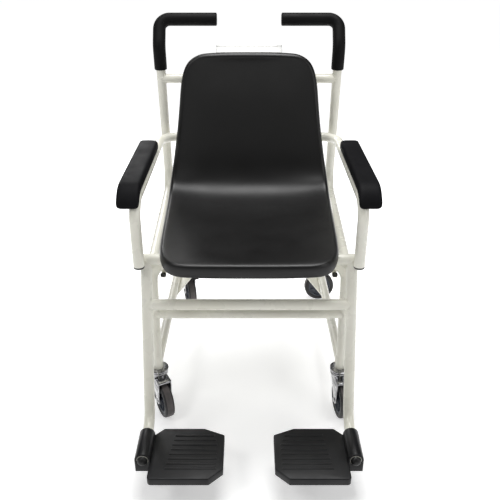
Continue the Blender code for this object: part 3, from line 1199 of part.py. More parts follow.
def build_indicator_bracket(place):
    """A bent strip from the crossbar's back to the indicator's back."""
    face = place @ Vector((0, 0, -FIT_GAP))
    up = Vector((0, place[1][1], place[2][1]))
    out = Vector((0, place[1][2], place[2][2]))
    low = face - up * BRACKET_FACE_HEIGHT / 2
    high = face + up * BRACKET_FACE_HEIGHT / 2
    bar_back = UPRIGHT_Y + TUBE_RADIUS + FIT_GAP
    clamp_high = UPPER_CROSSBAR_Z + BRACKET_CLAMP_HEIGHT / 2
    clamp_low = UPPER_CROSSBAR_Z - BRACKET_CLAMP_HEIGHT / 2
    outline = (
        (bar_back, clamp_low), (bar_back + BRACKET_PLATE, clamp_low),
        (low.y - out.y * BRACKET_PLATE * 1.6, low.z - BRACKET_PLATE), (low.y, low.z), (high.y, high.z),
        (high.y - out.y * BRACKET_PLATE, high.z - out.z * BRACKET_PLATE),
        (bar_back + BRACKET_PLATE, clamp_low + BRACKET_PLATE * 3), (bar_back + BRACKET_PLATE, clamp_high),
        (bar_back, clamp_high),
    )
    along_x = Matrix(((0, 0, 1, -BRACKET_WIDTH / 2), (1, 0, 0, 0), (0, 1, 0, 0), (0, 0, 0, 1)))
    return node("indicator_bracket", mesh_from(prism(outline, BRACKET_WIDTH, along_x), "bracket"),
                frame_paint())


build_chassis()
build_casters()
build_weighed_frame()
build_load_cell()
build_seat_support_frame()
build_seat_shell()
for arm_label, arm_side in (("left", -1), ("right", 1)):
    build_arm(arm_label, arm_side)
    build_arm_pad(arm_label, arm_side)
    build_footplate(arm_label, arm_side)
build_indicator()
for placed in bpy.data.objects:
    placed.location.y -= ORIGIN_Y
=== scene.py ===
"""Dresses the weighing chair: welded tubes, moulded seat, pads, grips, casters and weight indicator."""
import logging
from collections.abc import Callable, Iterable, Sequence
from dataclasses import dataclass, field
from enum import Enum
from math import asin, cos, pi, radians, sin, sqrt, tan

import bmesh
import bpy
from mathutils import Matrix, Vector


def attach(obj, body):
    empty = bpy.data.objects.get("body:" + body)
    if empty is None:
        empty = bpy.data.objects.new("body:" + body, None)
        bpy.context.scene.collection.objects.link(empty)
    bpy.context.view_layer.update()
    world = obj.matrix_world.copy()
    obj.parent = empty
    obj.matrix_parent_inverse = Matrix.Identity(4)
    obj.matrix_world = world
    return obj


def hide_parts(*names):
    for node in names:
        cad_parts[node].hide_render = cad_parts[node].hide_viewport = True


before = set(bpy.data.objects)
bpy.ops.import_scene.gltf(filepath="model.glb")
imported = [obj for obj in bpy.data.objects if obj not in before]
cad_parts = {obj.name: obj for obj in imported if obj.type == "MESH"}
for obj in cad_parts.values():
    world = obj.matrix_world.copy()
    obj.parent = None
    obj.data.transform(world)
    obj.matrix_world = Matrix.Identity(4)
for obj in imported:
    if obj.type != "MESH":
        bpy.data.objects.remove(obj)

log = logging.getLogger("weighing_chair")

Point = tuple[float, float, float]
Outline = Sequence[tuple[float, float]]

MM = 0.001
# The chair is drawn from the middle of its seat frame; the model's origin lies this much further forward
FORWARD = 17 * MM
TUBE_RADIUS = 12.7 * MM
BEND_STEPS = 14
TUBE_RESOLUTION = 8
FRAME_BODY = "frame"
SIDES = (("left", -1), ("right", 1))


class Axis(Enum):
    """Direction that an outline is drawn out along, with the plane that it is drawn in."""

    X = Matrix(((0, 0, 1, 0), (1, 0, 0, 0), (0, 1, 0, 0), (0, 0, 0, 1)))
    Y = Matrix(((1, 0, 0, 0), (0, 0, 1, 0), (0, 1, 0, 0), (0, 0, 0, 1)))
    Z = Matrix.Identity(4)


def surface_group() -> bpy.types.ShaderNodeTree:
    """Node group of the small differences that every finish has; on the bright steels its light and dark
    patches are painted reflections.

    Returns:
        A group that gives a colour between a light and a dark one, a roughness, and a fine relief.
    """
    name = "surface_variation"
    if name in bpy.data.node_groups:
        return bpy.data.node_groups[name]
    group = bpy.data.node_groups.new(name, "ShaderNodeTree")
    sockets = group.interface
    for socket in ("Light Colour", "Dark Colour"):
        sockets.new_socket(socket, in_out="INPUT", socket_type="NodeSocketColor")
    for socket in ("Patch Scale", "Low Roughness", "High Roughness", "Smudge Scale", "Grain Scale",
                   "Grain Share"):
        sockets.new_socket(socket, in_out="INPUT", socket_type="NodeSocketFloat")
    sockets.new_socket("Colour", in_out="OUTPUT", socket_type="NodeSocketColor")
    sockets.new_socket("Roughness", in_out="OUTPUT", socket_type="NodeSocketFloat")
    sockets.new_socket("Relief", in_out="OUTPUT", socket_type="NodeSocketFloat")
    nodes, links = group.nodes, group.links
    given, result = nodes.new("NodeGroupInput"), nodes.new("NodeGroupOutput")
    place = nodes.new("ShaderNodeTexCoord")

    def noise(scale_socket: str, detail: float, roughness: float = 0.55) -> bpy.types.ShaderNode:
        """Noise over the piece.

        Args:
            scale_socket: The group's input that holds its scale.
            detail: Number of finer layers.
            roughness: Strength of the finer layers.

        Returns:
            The noise node.
        """
        made = nodes.new("ShaderNodeTexNoise")
        made.inputs["Detail"].default_value = detail
        made.inputs["Roughness"].default_value = roughness
        links.new(place.outputs["Object"], made.inputs["Vector"])
        links.new(given.outputs[scale_socket], made.inputs["Scale"])
        return made

    # Patches of the light and the dark colour: random tone on most finishes, painted reflections on the
    # bright steels.
    patches = noise("Patch Scale", 4.0)
    spread = nodes.new("ShaderNodeMapRange")
    spread.inputs["From Min"].default_value = 0.3
    spread.inputs["From Max"].default_value = 0.7
    links.new(patches.outputs["Fac"], spread.inputs["Value"])
    colour = nodes.new("ShaderNodeMix")
    colour.data_type = "RGBA"
    links.new(spread.outputs["Result"], colour.inputs["Factor"])
    links.new(given.outputs["Light Colour"], colour.inputs["A"])
    links.new(given.outputs["Dark Colour"], colour.inputs["B"])
    links.new(colour.outputs["Result"], result.inputs["Colour"])
    smudges = noise("Smudge Scale", 3.0, 0.5)
    polish = nodes.new("ShaderNodeMapRange")
    polish.inputs["From Min"].default_value = 0.35
    polish.inputs["From Max"].default_value = 0.65
    links.new(smudges.outputs["Fac"], polish.inputs["Value"])
    links.new(given.outputs["Low Roughness"], polish.inputs["To Min"])
    links.new(given.outputs["High Roughness"], polish.inputs["To Max"])
    links.new(polish.outputs["Result"], result.inputs["Roughness"])
    soft_grain = noise("Grain Scale", 3.0)
    cells = nodes.new("ShaderNodeTexVoronoi")
    cells.feature = "SMOOTH_F1"
    links.new(place.outputs["Object"], cells.inputs["Vector"])
    links.new(given.outputs["Grain Scale"], cells.inputs["Scale"])
    relief = nodes.new("ShaderNodeMix")
    relief.data_type = "FLOAT"
    links.new(given.outputs["Grain Share"], relief.inputs["Factor"])
    links.new(soft_grain.outputs["Fac"], relief.inputs["A"])
    links.new(cells.outputs["Distance"], relief.inputs["B"])
    links.new(relief.outputs["Result"], result.inputs["Relief"])
    return group


@dataclass(frozen=True)
class Finish:
    """A finish: its colours, gloss and fine relief, made into a material when first asked for."""

    name: str
    slot: str
    light: tuple[float, float, float]
    dark: tuple[float, float, float]
    gloss: tuple[float, float] = (0.35, 0.45)
    patch_scale: float = 9.0
    smudge_scale: float = 22.0
    grain_scale: float = 900.0
    cell_share: float = 0.0
    relief: float = 0.04
    relief_depth: float = 0.0004
    metallic: float = 0.0
    coat: float = 0.0
    sheen: float = 0.0
    specular: float = 0.5

    def material(self) -> bpy.types.Material:
        """The finish as a material.

        Returns:
            The material, which is made once.
        """
        if self.name in bpy.data.materials:
            return bpy.data.materials[self.name]
        made = bpy.data.materials.new(self.name)
        made.use_nodes = True
        tree = made.node_tree
        shader = tree.nodes["Principled BSDF"]
        group = tree.nodes.new("ShaderNodeGroup")
        group.node_tree = surface_group()
        values = {
            "Light Colour": (*self.light, 1.0), "Dark Colour": (*self.dark, 1.0),
            "Patch Scale": self.patch_scale,
            "Low Roughness": self.gloss[0], "High Roughness": self.gloss[1],
            "Smudge Scale": self.smudge_scale,
            "Grain Scale": self.grain_scale, "Grain Share": self.cell_share,
        }
        for socket, value in values.items():
            group.inputs[socket].default_value = value
        bump = tree.nodes.new("ShaderNodeBump")
        bump.inputs["Strength"].default_value = self.relief
        bump.inputs["Distance"].default_value = self.relief_depth
        tree.links.new(group.outputs["Relief"], bump.inputs["Height"])
        tree.links.new(group.outputs["Colour"], shader.inputs["Base Color"])
        tree.links.new(group.outputs["Roughness"], shader.inputs["Roughness"])
        tree.links.new(bump.outputs["Normal"], shader.inputs["Normal"])
        shader.inputs["Metallic"].default_value = self.metallic
        shader.inputs["Coat Weight"].default_value = self.coat
        shader.inputs["Coat Roughness"].default_value = 0.12
        shader.inputs["Sheen Weight"].default_value = self.sheen
        shader.inputs["Specular IOR Level"].default_value = self.specular
        return made


PAINT = Finish("ivory_powder_coat", "frame_paint", (0.83, 0.82, 0.74), (0.78, 0.765, 0.66), (0.24, 0.34),
               patch_scale=5.0, grain_scale=420.0, relief=0.10, relief_depth=0.0003, coat=0.25)
SEAT = Finish("seat_black_plastic", "seat", (0.0036, 0.0034, 0.0034), (0.0022, 0.0021, 0.0021),
              (0.37, 0.43),
              patch_scale=6.0, smudge_scale=12.0, grain_scale=1300.0, cell_share=0.3, relief=0.08,
              relief_depth=0.0003, specular=0.44)
PAD = Finish("pad_black_skin", "pad", (0.0070, 0.0069, 0.0080), (0.0045, 0.0045, 0.0052), (0.52, 0.62),
             patch_scale=14.0, grain_scale=620.0, cell_share=0.8, relief=0.3, relief_depth=0.0005,
             specular=0.07)
GRIP = Finish("grip_black_foam", "grip", (0.0055, 0.0054, 0.0056), (0.0035, 0.0034, 0.0036), (0.50, 0.64),
              patch_scale=30.0, grain_scale=760.0, cell_share=0.5, relief=0.45, relief_depth=0.0006,
              specular=0.11)
PLUG = Finish("black_plug", "plug", (0.009, 0.009, 0.009), (0.006, 0.006, 0.006), (0.38, 0.5), relief=0.1,
              specular=0.3)
PEDAL = Finish("pedal_black_plastic", "pedal", (0.012, 0.012, 0.013), (0.008, 0.008, 0.009), (0.35, 0.5),
               relief=0.15, specular=0.35)
TREAD = Finish("footplate_black_plastic", "footplate", (0.0065, 0.0067, 0.0076), (0.0042, 0.0043, 0.0050),
               (0.34, 0.48),
               patch_scale=18.0, smudge_scale=30.0, grain_scale=1100.0, cell_share=0.5, relief=0.25,
               specular=0.27)
CASING = Finish("casing_light_grey", "casing", (0.84, 0.84, 0.82), (0.80, 0.80, 0.78), (0.42, 0.52),
                grain_scale=1500.0, cell_share=0.5, relief=0.2)
KEY = Finish("key_blue_grey", "key", (0.17, 0.21, 0.27), (0.14, 0.18, 0.23), (0.42, 0.52), relief=0.1)
BOARD = Finish("board_green", "board", (0.03, 0.17, 0.07), (0.02, 0.11, 0.05), (0.3, 0.5),
               patch_scale=120.0)
CELL = Finish("cell_milled_aluminium", "cell", (0.74, 0.75, 0.76), (0.66, 0.67, 0.68), (0.28, 0.42),
              patch_scale=60.0, grain_scale=1400.0, relief=0.2, metallic=1.0)
ZINC = Finish("zinc_plated_steel", "zinc", (0.62, 0.62, 0.60), (0.48, 0.49, 0.49), (0.24, 0.40),
              patch_scale=45.0, grain_scale=900.0, relief=0.15, metallic=1.0)
# Bright steels: the contrasty patches between the light and the dark colour are painted reflections of a
# dark room, not marks on the metal.
CHROME = Finish("fork_steel_painted_reflections", "chrome", (0.62, 0.62, 0.63), (0.15, 0.15, 0.16), (0.10, 0.22),
                patch_scale=55.0, grain_scale=700.0, relief=0.06, metallic=1.0)
HEAD = Finish("head_steel_painted_reflections", "zinc", (0.60, 0.60, 0.61), (0.16, 0.16, 0.17), (0.12, 0.24),
              patch_scale=50.0, grain_scale=800.0, relief=0.06, metallic=1.0)
BUFFER = Finish("buffer_rubber", "buffer", (0.022, 0.022, 0.022), (0.014, 0.014, 0.014), (0.6, 0.75),
                relief=0.2)
TYRE = Finish("tyre_grey_rubber", "tyre", (0.0150, 0.0148, 0.0155), (0.0080, 0.0080, 0.0085), (0.42, 0.6),
              patch_scale=40.0, grain_scale=700.0, relief=0.25)
WORN = Finish("tyre_worn_tread", "tyre", (0.115, 0.101, 0.100), (0.066, 0.060, 0.060), (0.55, 0.72),
              patch_scale=45.0, grain_scale=700.0, relief=0.25)
HUB = Finish("hub_blue_grey_nylon", "hub", (0.044, 0.052, 0.070), (0.028, 0.034, 0.047), (0.38, 0.5),
             patch_scale=30.0, grain_scale=1000.0, relief=0.15)
SCREEN = Finish("display_window", "window", (0.030, 0.036, 0.034), (0.022, 0.027, 0.026), (0.06, 0.10),
                relief=0.0, specular=0.6)


def deselect() -> None:
    """Leave nothing selected, so that the next operator acts on its own piece alone."""
    bpy.ops.object.select_all(action="DESELECT")


def activate(piece: bpy.types.Object) -> None:
    """Select one piece alone and make it active.

    Args:
        piece: The piece that the next operator acts on.
    """
    deselect()
    piece.select_set(True)
    bpy.context.view_layer.objects.active = piece


def apply_all(piece: bpy.types.Object) -> bpy.types.Object:
    """Apply every modifier on a piece in order.

    Args:
        piece: The piece to finish.

    Returns:
        The same piece.
    """
    activate(piece)
    for modifier in list(piece.modifiers):
        bpy.ops.object.modifier_apply(modifier=modifier.name)
    return piece


def bevelled(piece: bpy.types.Object, width: float, segments: int = 3,
             angle: float = radians(35)) -> bpy.types.Object:
    """Round the sharp edges of a piece.

    Args:
        piece: The piece.
        width: Width of the rounding in metres.
        segments: Steps across it.
        angle: Edges sharper than this are rounded.

    Returns:
        The same piece.
    """
    modifier = piece.modifiers.new("rounding", "BEVEL")
    modifier.width = width
    modifier.segments = segments
    modifier.limit_method = "ANGLE"
    modifier.angle_limit = angle
    modifier.harden_normals = False
    return apply_all(piece)


def box(name: str, low: Point, high: Point, rounding: float = 1 * MM) -> bpy.types.Object:
    """A block between two corners with rounded edges.

    Args:
        name: Name of the piece.
        low: Lowest corner.
        high: Highest corner.
        rounding: Width of the rounding.

    Returns:
        The new piece.
    """
    low_corner, high_corner = Vector(low), Vector(high)
    deselect()
    bpy.ops.mesh.primitive_cube_add(size=1, location=(low_corner + high_corner) / 2)
    piece = bpy.context.active_object
    piece.name = name
    piece.scale = high_corner - low_corner
    bpy.ops.object.transform_apply(location=True, rotation=True, scale=True)
    return bevelled(piece, rounding)


def ring_of(name: str, points: Sequence[Vector], fill: str) -> bpy.types.Object:
    """A circle of vertices laid through points in order.

    Args:
        name: Name of the piece.
        points: The points.
        fill: NGON for a face across it, NOTHING for the ring alone.

    Returns:
        The ring as the active piece.
    """
    deselect()
    bpy.ops.mesh.primitive_circle_add(vertices=len(points), fill_type=fill)
    piece = bpy.context.active_object
    piece.name = piece.data.name = name
    for vert, point in zip(piece.data.vertices, points):
        vert.co = point
    return piece


def close_up() -> None:
    """Merge doubled points of the piece in edit mode, turn its faces outwards and leave edit mode."""
    bpy.ops.mesh.select_all(action="SELECT")
    bpy.ops.mesh.remove_doubles(threshold=0.01 * MM)
    bpy.ops.mesh.normals_make_consistent(inside=False)
    bpy.ops.object.mode_set(mode="OBJECT")


def extruded(name: str, outline: Outline, thickness: float, place: Matrix, rounding: float = 1 * MM,
             segments: int = 3) -> bpy.types.Object:
    """A flat outline, drawn out square to its plane, with rounded edges.

    Args:
        name: Name of the piece.
        outline: Corners in the plane, in order.
        thickness: Distance that it is drawn out.
        place: Where the plane stands.
        rounding: Width of the rounding.
        segments: Steps across the rounding.

    Returns:
        The new piece.
    """
    piece = ring_of(name, [Vector((x, y, 0)) for x, y in outline], "NGON")
    mesh = piece.data
    bpy.ops.object.mode_set(mode="EDIT")
    bpy.ops.mesh.select_all(action="SELECT")
    bpy.ops.mesh.extrude_region_move(TRANSFORM_OT_translate={"value": (0, 0, thickness)})
    close_up()
    mesh.transform(place)
    if place.determinant() < 0:
        mesh.flip_normals()
    return bevelled(piece, rounding, segments) if rounding else piece


def lathe(name: str, profile: Outline, place: Matrix, steps: int = 48,
          rounding: float = 0.0) -> bpy.types.Object:
    """A profile turned about its own Z axis.

    Args:
        name: Name of the piece.
        profile: Radius and height of each point; it starts and ends on the axis, or closes on itself.
        place: Where the axis stands.
        steps: Steps in a full turn.
        rounding: Width of the rounding on its sharp edges.

    Returns:
        The new piece.
    """
    piece = ring_of(name, [Vector((radius, 0, height)) for radius, height in profile], "NOTHING")
    bpy.ops.object.mode_set(mode="EDIT")
    bpy.ops.mesh.select_all(action="SELECT")
    bpy.ops.mesh.spin(steps=steps, angle=2 * pi, center=(0, 0, 0), axis=(0, 0, 1), use_auto_merge=True)
    close_up()
    piece.data.transform(place)
    return bevelled(piece, rounding, 2, radians(30)) if rounding else piece


def along(direction: Sequence[float]) -> Matrix:
    """A turn that points Z along a direction.

    Args:
        direction: The direction.

    Returns:
        The turn as a matrix.
    """
    return Vector(direction).normalized().to_track_quat("Z", "Y").to_matrix().to_4x4()


def bent_path(corners: Sequence[tuple[Point, float]], steps: int = BEND_STEPS) -> list[Vector]:
    """Points along straight runs joined by arcs.

    Args:
        corners: Each corner with its bend radius; the first and last are the ends.
        steps: Steps along each arc.

    Returns:
        The points in order.
    """
    points = [Vector(corners[0][0])]
    for (before, _), (corner, radius), (after, _) in zip(corners, corners[1:], corners[2:]):
        here = Vector(corner)
        into, out = (here - Vector(before)).normalized(), (Vector(after) - here).normalized()
        turn = into.angle(out)
        centre = here + (out - into).normalized() * radius / cos(turn / 2)
        start = here - into * radius * tan(turn / 2)
        axis = into.cross(out).normalized()
        points.extend(centre + Matrix.Rotation(turn * i / steps, 3, axis) @ (start - centre)
                      for i in range(steps + 1))
    points.append(Vector(corners[-1][0]))
    return points


def tube(name: str, path: Sequence[Vector], radius: float = TUBE_RADIUS, closed: bool = False,
         resolution: int = TUBE_RESOLUTION,
         swell: Callable[[int], float] | None = None) -> bpy.types.Object:
    """A round bar along a path.

    Args:
        name: Name of the piece.
        path: Points of its centre line.
        radius: Its radius.
        closed: Whether the path closes on itself.
        resolution: Fineness of its round section.
        swell: Share of the radius at each point, or None for the full radius all along.

    Returns:
        The new piece as a mesh.
    """
    curve = bpy.data.curves.new(name, "CURVE")
    curve.dimensions = "3D"
    curve.bevel_depth = radius
    curve.bevel_resolution = resolution
    curve.use_fill_caps = not closed
    spline = curve.splines.new("POLY")
    spline.points.add(len(path) - 1)
    spline.use_cyclic_u = closed
    for i, point in enumerate(path):
        spline.points[i].co = (*point, 1)
        spline.points[i].radius = swell(i) if swell else 1
    piece = bpy.data.objects.new(name, curve)
    bpy.context.scene.collection.objects.link(piece)
    activate(piece)
    bpy.ops.object.convert(target="MESH")
    piece = bpy.context.active_object
    bpy.ops.object.mode_set(mode="EDIT")
    bpy.ops.mesh.select_all(action="SELECT")
    bpy.ops.mesh.remove_doubles(threshold=0.005 * MM)
    bpy.ops.mesh.normals_make_consistent(inside=False)
    bpy.ops.object.mode_set(mode="OBJECT")
    return piece


def joined(name: str, parts: Iterable[bpy.types.Object]) -> bpy.types.Object:
    """Several shapes as one piece.

    Args:
        name: Name of the piece.
        parts: The shapes.

    Returns:
        The piece that holds them all.
    """
    shapes = list(parts)
    deselect()
    for shape in shapes:
        shape.select_set(True)
    bpy.context.view_layer.objects.active = shapes[0]
    bpy.ops.object.join()
    shapes[0].name = shapes[0].data.name = name
    return shapes[0]


def loft(name: str, rings: Sequence[Sequence[Vector]], levels: int = 2) -> bpy.types.Object:
    """A closed skin over rings of points, smoothed by subdivision.

    Args:
        name: Name of the piece.
        rings: Rings with the same number of points.
        levels: Levels of subdivision.

    Returns:
        The new piece.
    """
    piece = ring_of(name, rings[0], "NGON")
    bpy.ops.object.mode_set(mode="EDIT")
    bpy.ops.mesh.select_all(action="SELECT")
    for before, ring in zip(rings, rings[1:]):
        bpy.ops.mesh.extrude_region_move()
        shape = bmesh.from_edit_mesh(piece.data)
        for vert in (vert for vert in shape.verts if vert.select):
            nearest = min(range(len(before)), key=lambda i: (before[i] - vert.co).length_squared)
            vert.co = ring[nearest]
        bmesh.update_edit_mesh(piece.data)
    close_up()
    smooth = piece.modifiers.new("smoothing", "SUBSURF")
    smooth.levels = smooth.render_levels = levels
    return apply_all(piece)


def cut(piece: bpy.types.Object, cutter: bpy.types.Object) -> bpy.types.Object:
    """Take a shape away from a piece and drop it.

    Args:
        piece: The piece.
        cutter: The shape to take away.

    Returns:
        The piece.
    """
    modifier = piece.modifiers.new("cut", "BOOLEAN")
    modifier.operation = "DIFFERENCE"
    modifier.solver = "EXACT"
    modifier.object = cutter
    apply_all(piece)
    bpy.data.objects.remove(cutter, do_unlink=True)
    return piece


def settle(piece: bpy.types.Object, finish: Finish, body: str, replaces: Sequence[str] = (),
           smooth: float = radians(38)) -> bpy.types.Object:
    """Give a piece its finish, its body and the solids that it stands for.

    Args:
        piece: The finished shape.
        finish: Its finish.
        body: The body that it moves with.
        replaces: Solids that it takes the place of.
        smooth: Faces that meet flatter than this are shaded smooth.

    Returns:
        The piece.
    """
    piece.data.transform(Matrix.Translation((0, FORWARD, 0)))
    piece.data.materials.clear()
    piece.data.materials.append(finish.material())
    activate(piece)
    bpy.ops.object.shade_smooth_by_angle(angle=smooth)
    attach(piece, body)
    if replaces:
        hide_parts(*replaces)
    log.info("%s rides on %s", piece.name, body)
    return piece


def repaint(node: str, finish: Finish) -> None:
    """Give a solid that stays its finish.

    Args:
        node: Name of the solid.
        finish: Its finish.
    """
    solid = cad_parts[node]
    solid.data.materials.clear()
    solid.data.materials.append(finish.material())


@dataclass
class WeldBeads:
    """The weld beads round every place where a tube meets another."""

    bead: float = 1.5 * MM
    steps: int = 44
    parts: list[bpy.types.Object] = field(default_factory=list)

    def add(self, meeting: Point, branch: Point, main: Point, branch_radius: float = TUBE_RADIUS) -> None:
        """Lay a bead where a branch tube meets a main tube.

        Args:
            meeting: Where the two centre lines meet.
            branch: Direction of the branch away from the main tube.
            main: Direction of the main tube.
            branch_radius: Radius of the branch.
        """
        away, line = Vector(branch).normalized(), Vector(main).normalized()
        across = (line - away * line.dot(away)).normalized()
        other = away.cross(across)
        points = []
        flat = away - line * away.dot(line)
        for step in range(self.steps):
            turn = 2 * pi * step / self.steps
            ring = (across * cos(turn) + other * sin(turn)) * branch_radius
            ring_flat = ring - line * ring.dot(line)
            a, b = flat.dot(flat), 2 * flat.dot(ring_flat)
            c = ring_flat.dot(ring_flat) - TUBE_RADIUS ** 2
            root = max(b * b - 4 * a * c, 0.0)
            reach = (-b + sqrt(root)) / (2 * a)
            points.append(Vector(meeting) + ring + away * reach)
        self.parts.append(tube("bead", points, self.bead, closed=True, resolution=2))

    def finish(self) -> None:
        """Join the beads into one painted piece."""
        settle(joined("frame_weld_beads", self.parts), PAINT, FRAME_BODY, smooth=radians(60))


@dataclass
class Chassis:
    """Front hoop, rails, rear cross tube, spine and the plates that carry the rear casters."""

    welds: WeldBeads
    side_x: float = 239 * MM
    front_y: float = -137 * MM
    foot_z: float = 133 * MM
    kink_z: float = 195 * MM
    top_y: float = -108 * MM
    top_z: float = 428 * MM
    rail_z: float = 150 * MM
    rear_x: float = 233.5 * MM
    rear_y: float = 450 * MM
    crossbar_z: float = 291.5 * MM
    rear_cross_y: float = 436 * MM
    gusset_front_y: float = 200 * MM
    gusset_inner_x: float = 150 * MM
    gusset_thickness: float = 4 * MM
    top_radius: float = 45 * MM
    kink_radius: float = 90 * MM

    def lean_y(self, z: float) -> float:
        """Centre line of the hoop's leaning upright at a height."""
        return self.front_y + (self.top_y
                               - self.front_y) * max(0.0, (z - self.kink_z) / (self.top_z - self.kink_z))

    def build(self) -> None:
        """Build the chassis."""
        left = [
            ((-self.side_x, self.front_y, self.foot_z), 0.0),
            ((-self.side_x, self.front_y, self.kink_z), self.kink_radius),
            ((-self.side_x, self.top_y, self.top_z), self.top_radius),
        ]
        right = [((-x, y, z), radius) for (x, y, z), radius in reversed(left)]
        settle(tube("chassis_front_hoop", bent_path(left + right)), PAINT, FRAME_BODY, ["front_hoop"])
        self.crossbars()
        for label, side in SIDES:
            self.rail(label, side)

    def crossbars(self) -> None:
        """The hoop's crossbar, the rear cross tube and the spine between them."""
        y = self.lean_y(self.crossbar_z)
        reach = self.side_x
        bar = tube("chassis_crossbar_tube",
                   [Vector((-reach, y, self.crossbar_z)), Vector((reach, y, self.crossbar_z))])
        settle(bar, PAINT, FRAME_BODY, ["chassis_crossbar"])
        lean = (0, self.top_y - self.front_y, self.top_z - self.kink_z)
        rear_reach = self.rear_x
        rear = [Vector((-rear_reach, self.rear_cross_y, self.rail_z)),
                Vector((rear_reach, self.rear_cross_y, self.rail_z))]
        settle(tube("chassis_rear_tube", rear), PAINT, FRAME_BODY, ["rear_cross_tube"])
        spine = [Vector((0, self.rear_cross_y, self.rail_z)), Vector((0, self.top_y, self.top_z))]
        settle(tube("chassis_spine", spine), PAINT, FRAME_BODY, ["centre_spine"])
        rise = spine[1] - spine[0]
        self.welds.add(tuple(spine[0]), tuple(rise), (1, 0, 0))
        self.welds.add(tuple(spine[1]), tuple(-rise), (1, 0, 0))
        for _, side in SIDES:
            self.welds.add((side * self.side_x, y, self.crossbar_z), (-side, 0, 0), lean)
            self.welds.add((side * self.rear_x, self.rear_cross_y, self.rail_z), (-side, 0, 0), (0, 1, 0))
            self.welds.add((side * self.side_x, self.front_y, self.rail_z), (0, 1, 0), (0, 0, 1))

    def rail(self, label: str, side: int) -> None:
        """One side rail with its triangular plate and end plug.

        Args:
            label: left or right.
            side: -1 on the left, 1 on the right.
        """
        start = Vector((side * self.side_x, self.front_y, self.rail_z))
        end = Vector((side * self.rear_x, self.rear_y, self.rail_z))
        rail = tube("rail", [start, end])
        outline = [(side * self.rear_x, self.gusset_front_y), (side * self.rear_x, self.rear_y),
                   (side * self.gusset_inner_x, self.rear_y)]
        plate = extruded("plate", outline, self.gusset_thickness + 1.5 * MM,
                         Matrix.Translation((0, 0, self.foot_z)), 0.8 * MM)
        low = (side * self.rear_x - 2 * MM, self.gusset_front_y + 30 * MM, self.foot_z + 4 * MM)
        high = (side * self.rear_x + 2 * MM, self.rear_y - 2 * MM, self.rail_z - 10 * MM)
        seam = box("seam", low, high, 0.8 * MM)
        settle(joined("chassis_rail_" + label, [rail, plate, seam]), PAINT, FRAME_BODY,
               ["side_rail_" + label])
        profile = ((0, 0.2 * MM), (10 * MM, 0.2 * MM), (11.8 * MM, -0.4 * MM), (11.8 * MM, -6 * MM),
                   (0, -6 * MM))
        settle(lathe("chassis_rail_plug_" + label, profile, Matrix.Translation(end) @ along((0, 1, 0))),
               PLUG, FRAME_BODY)


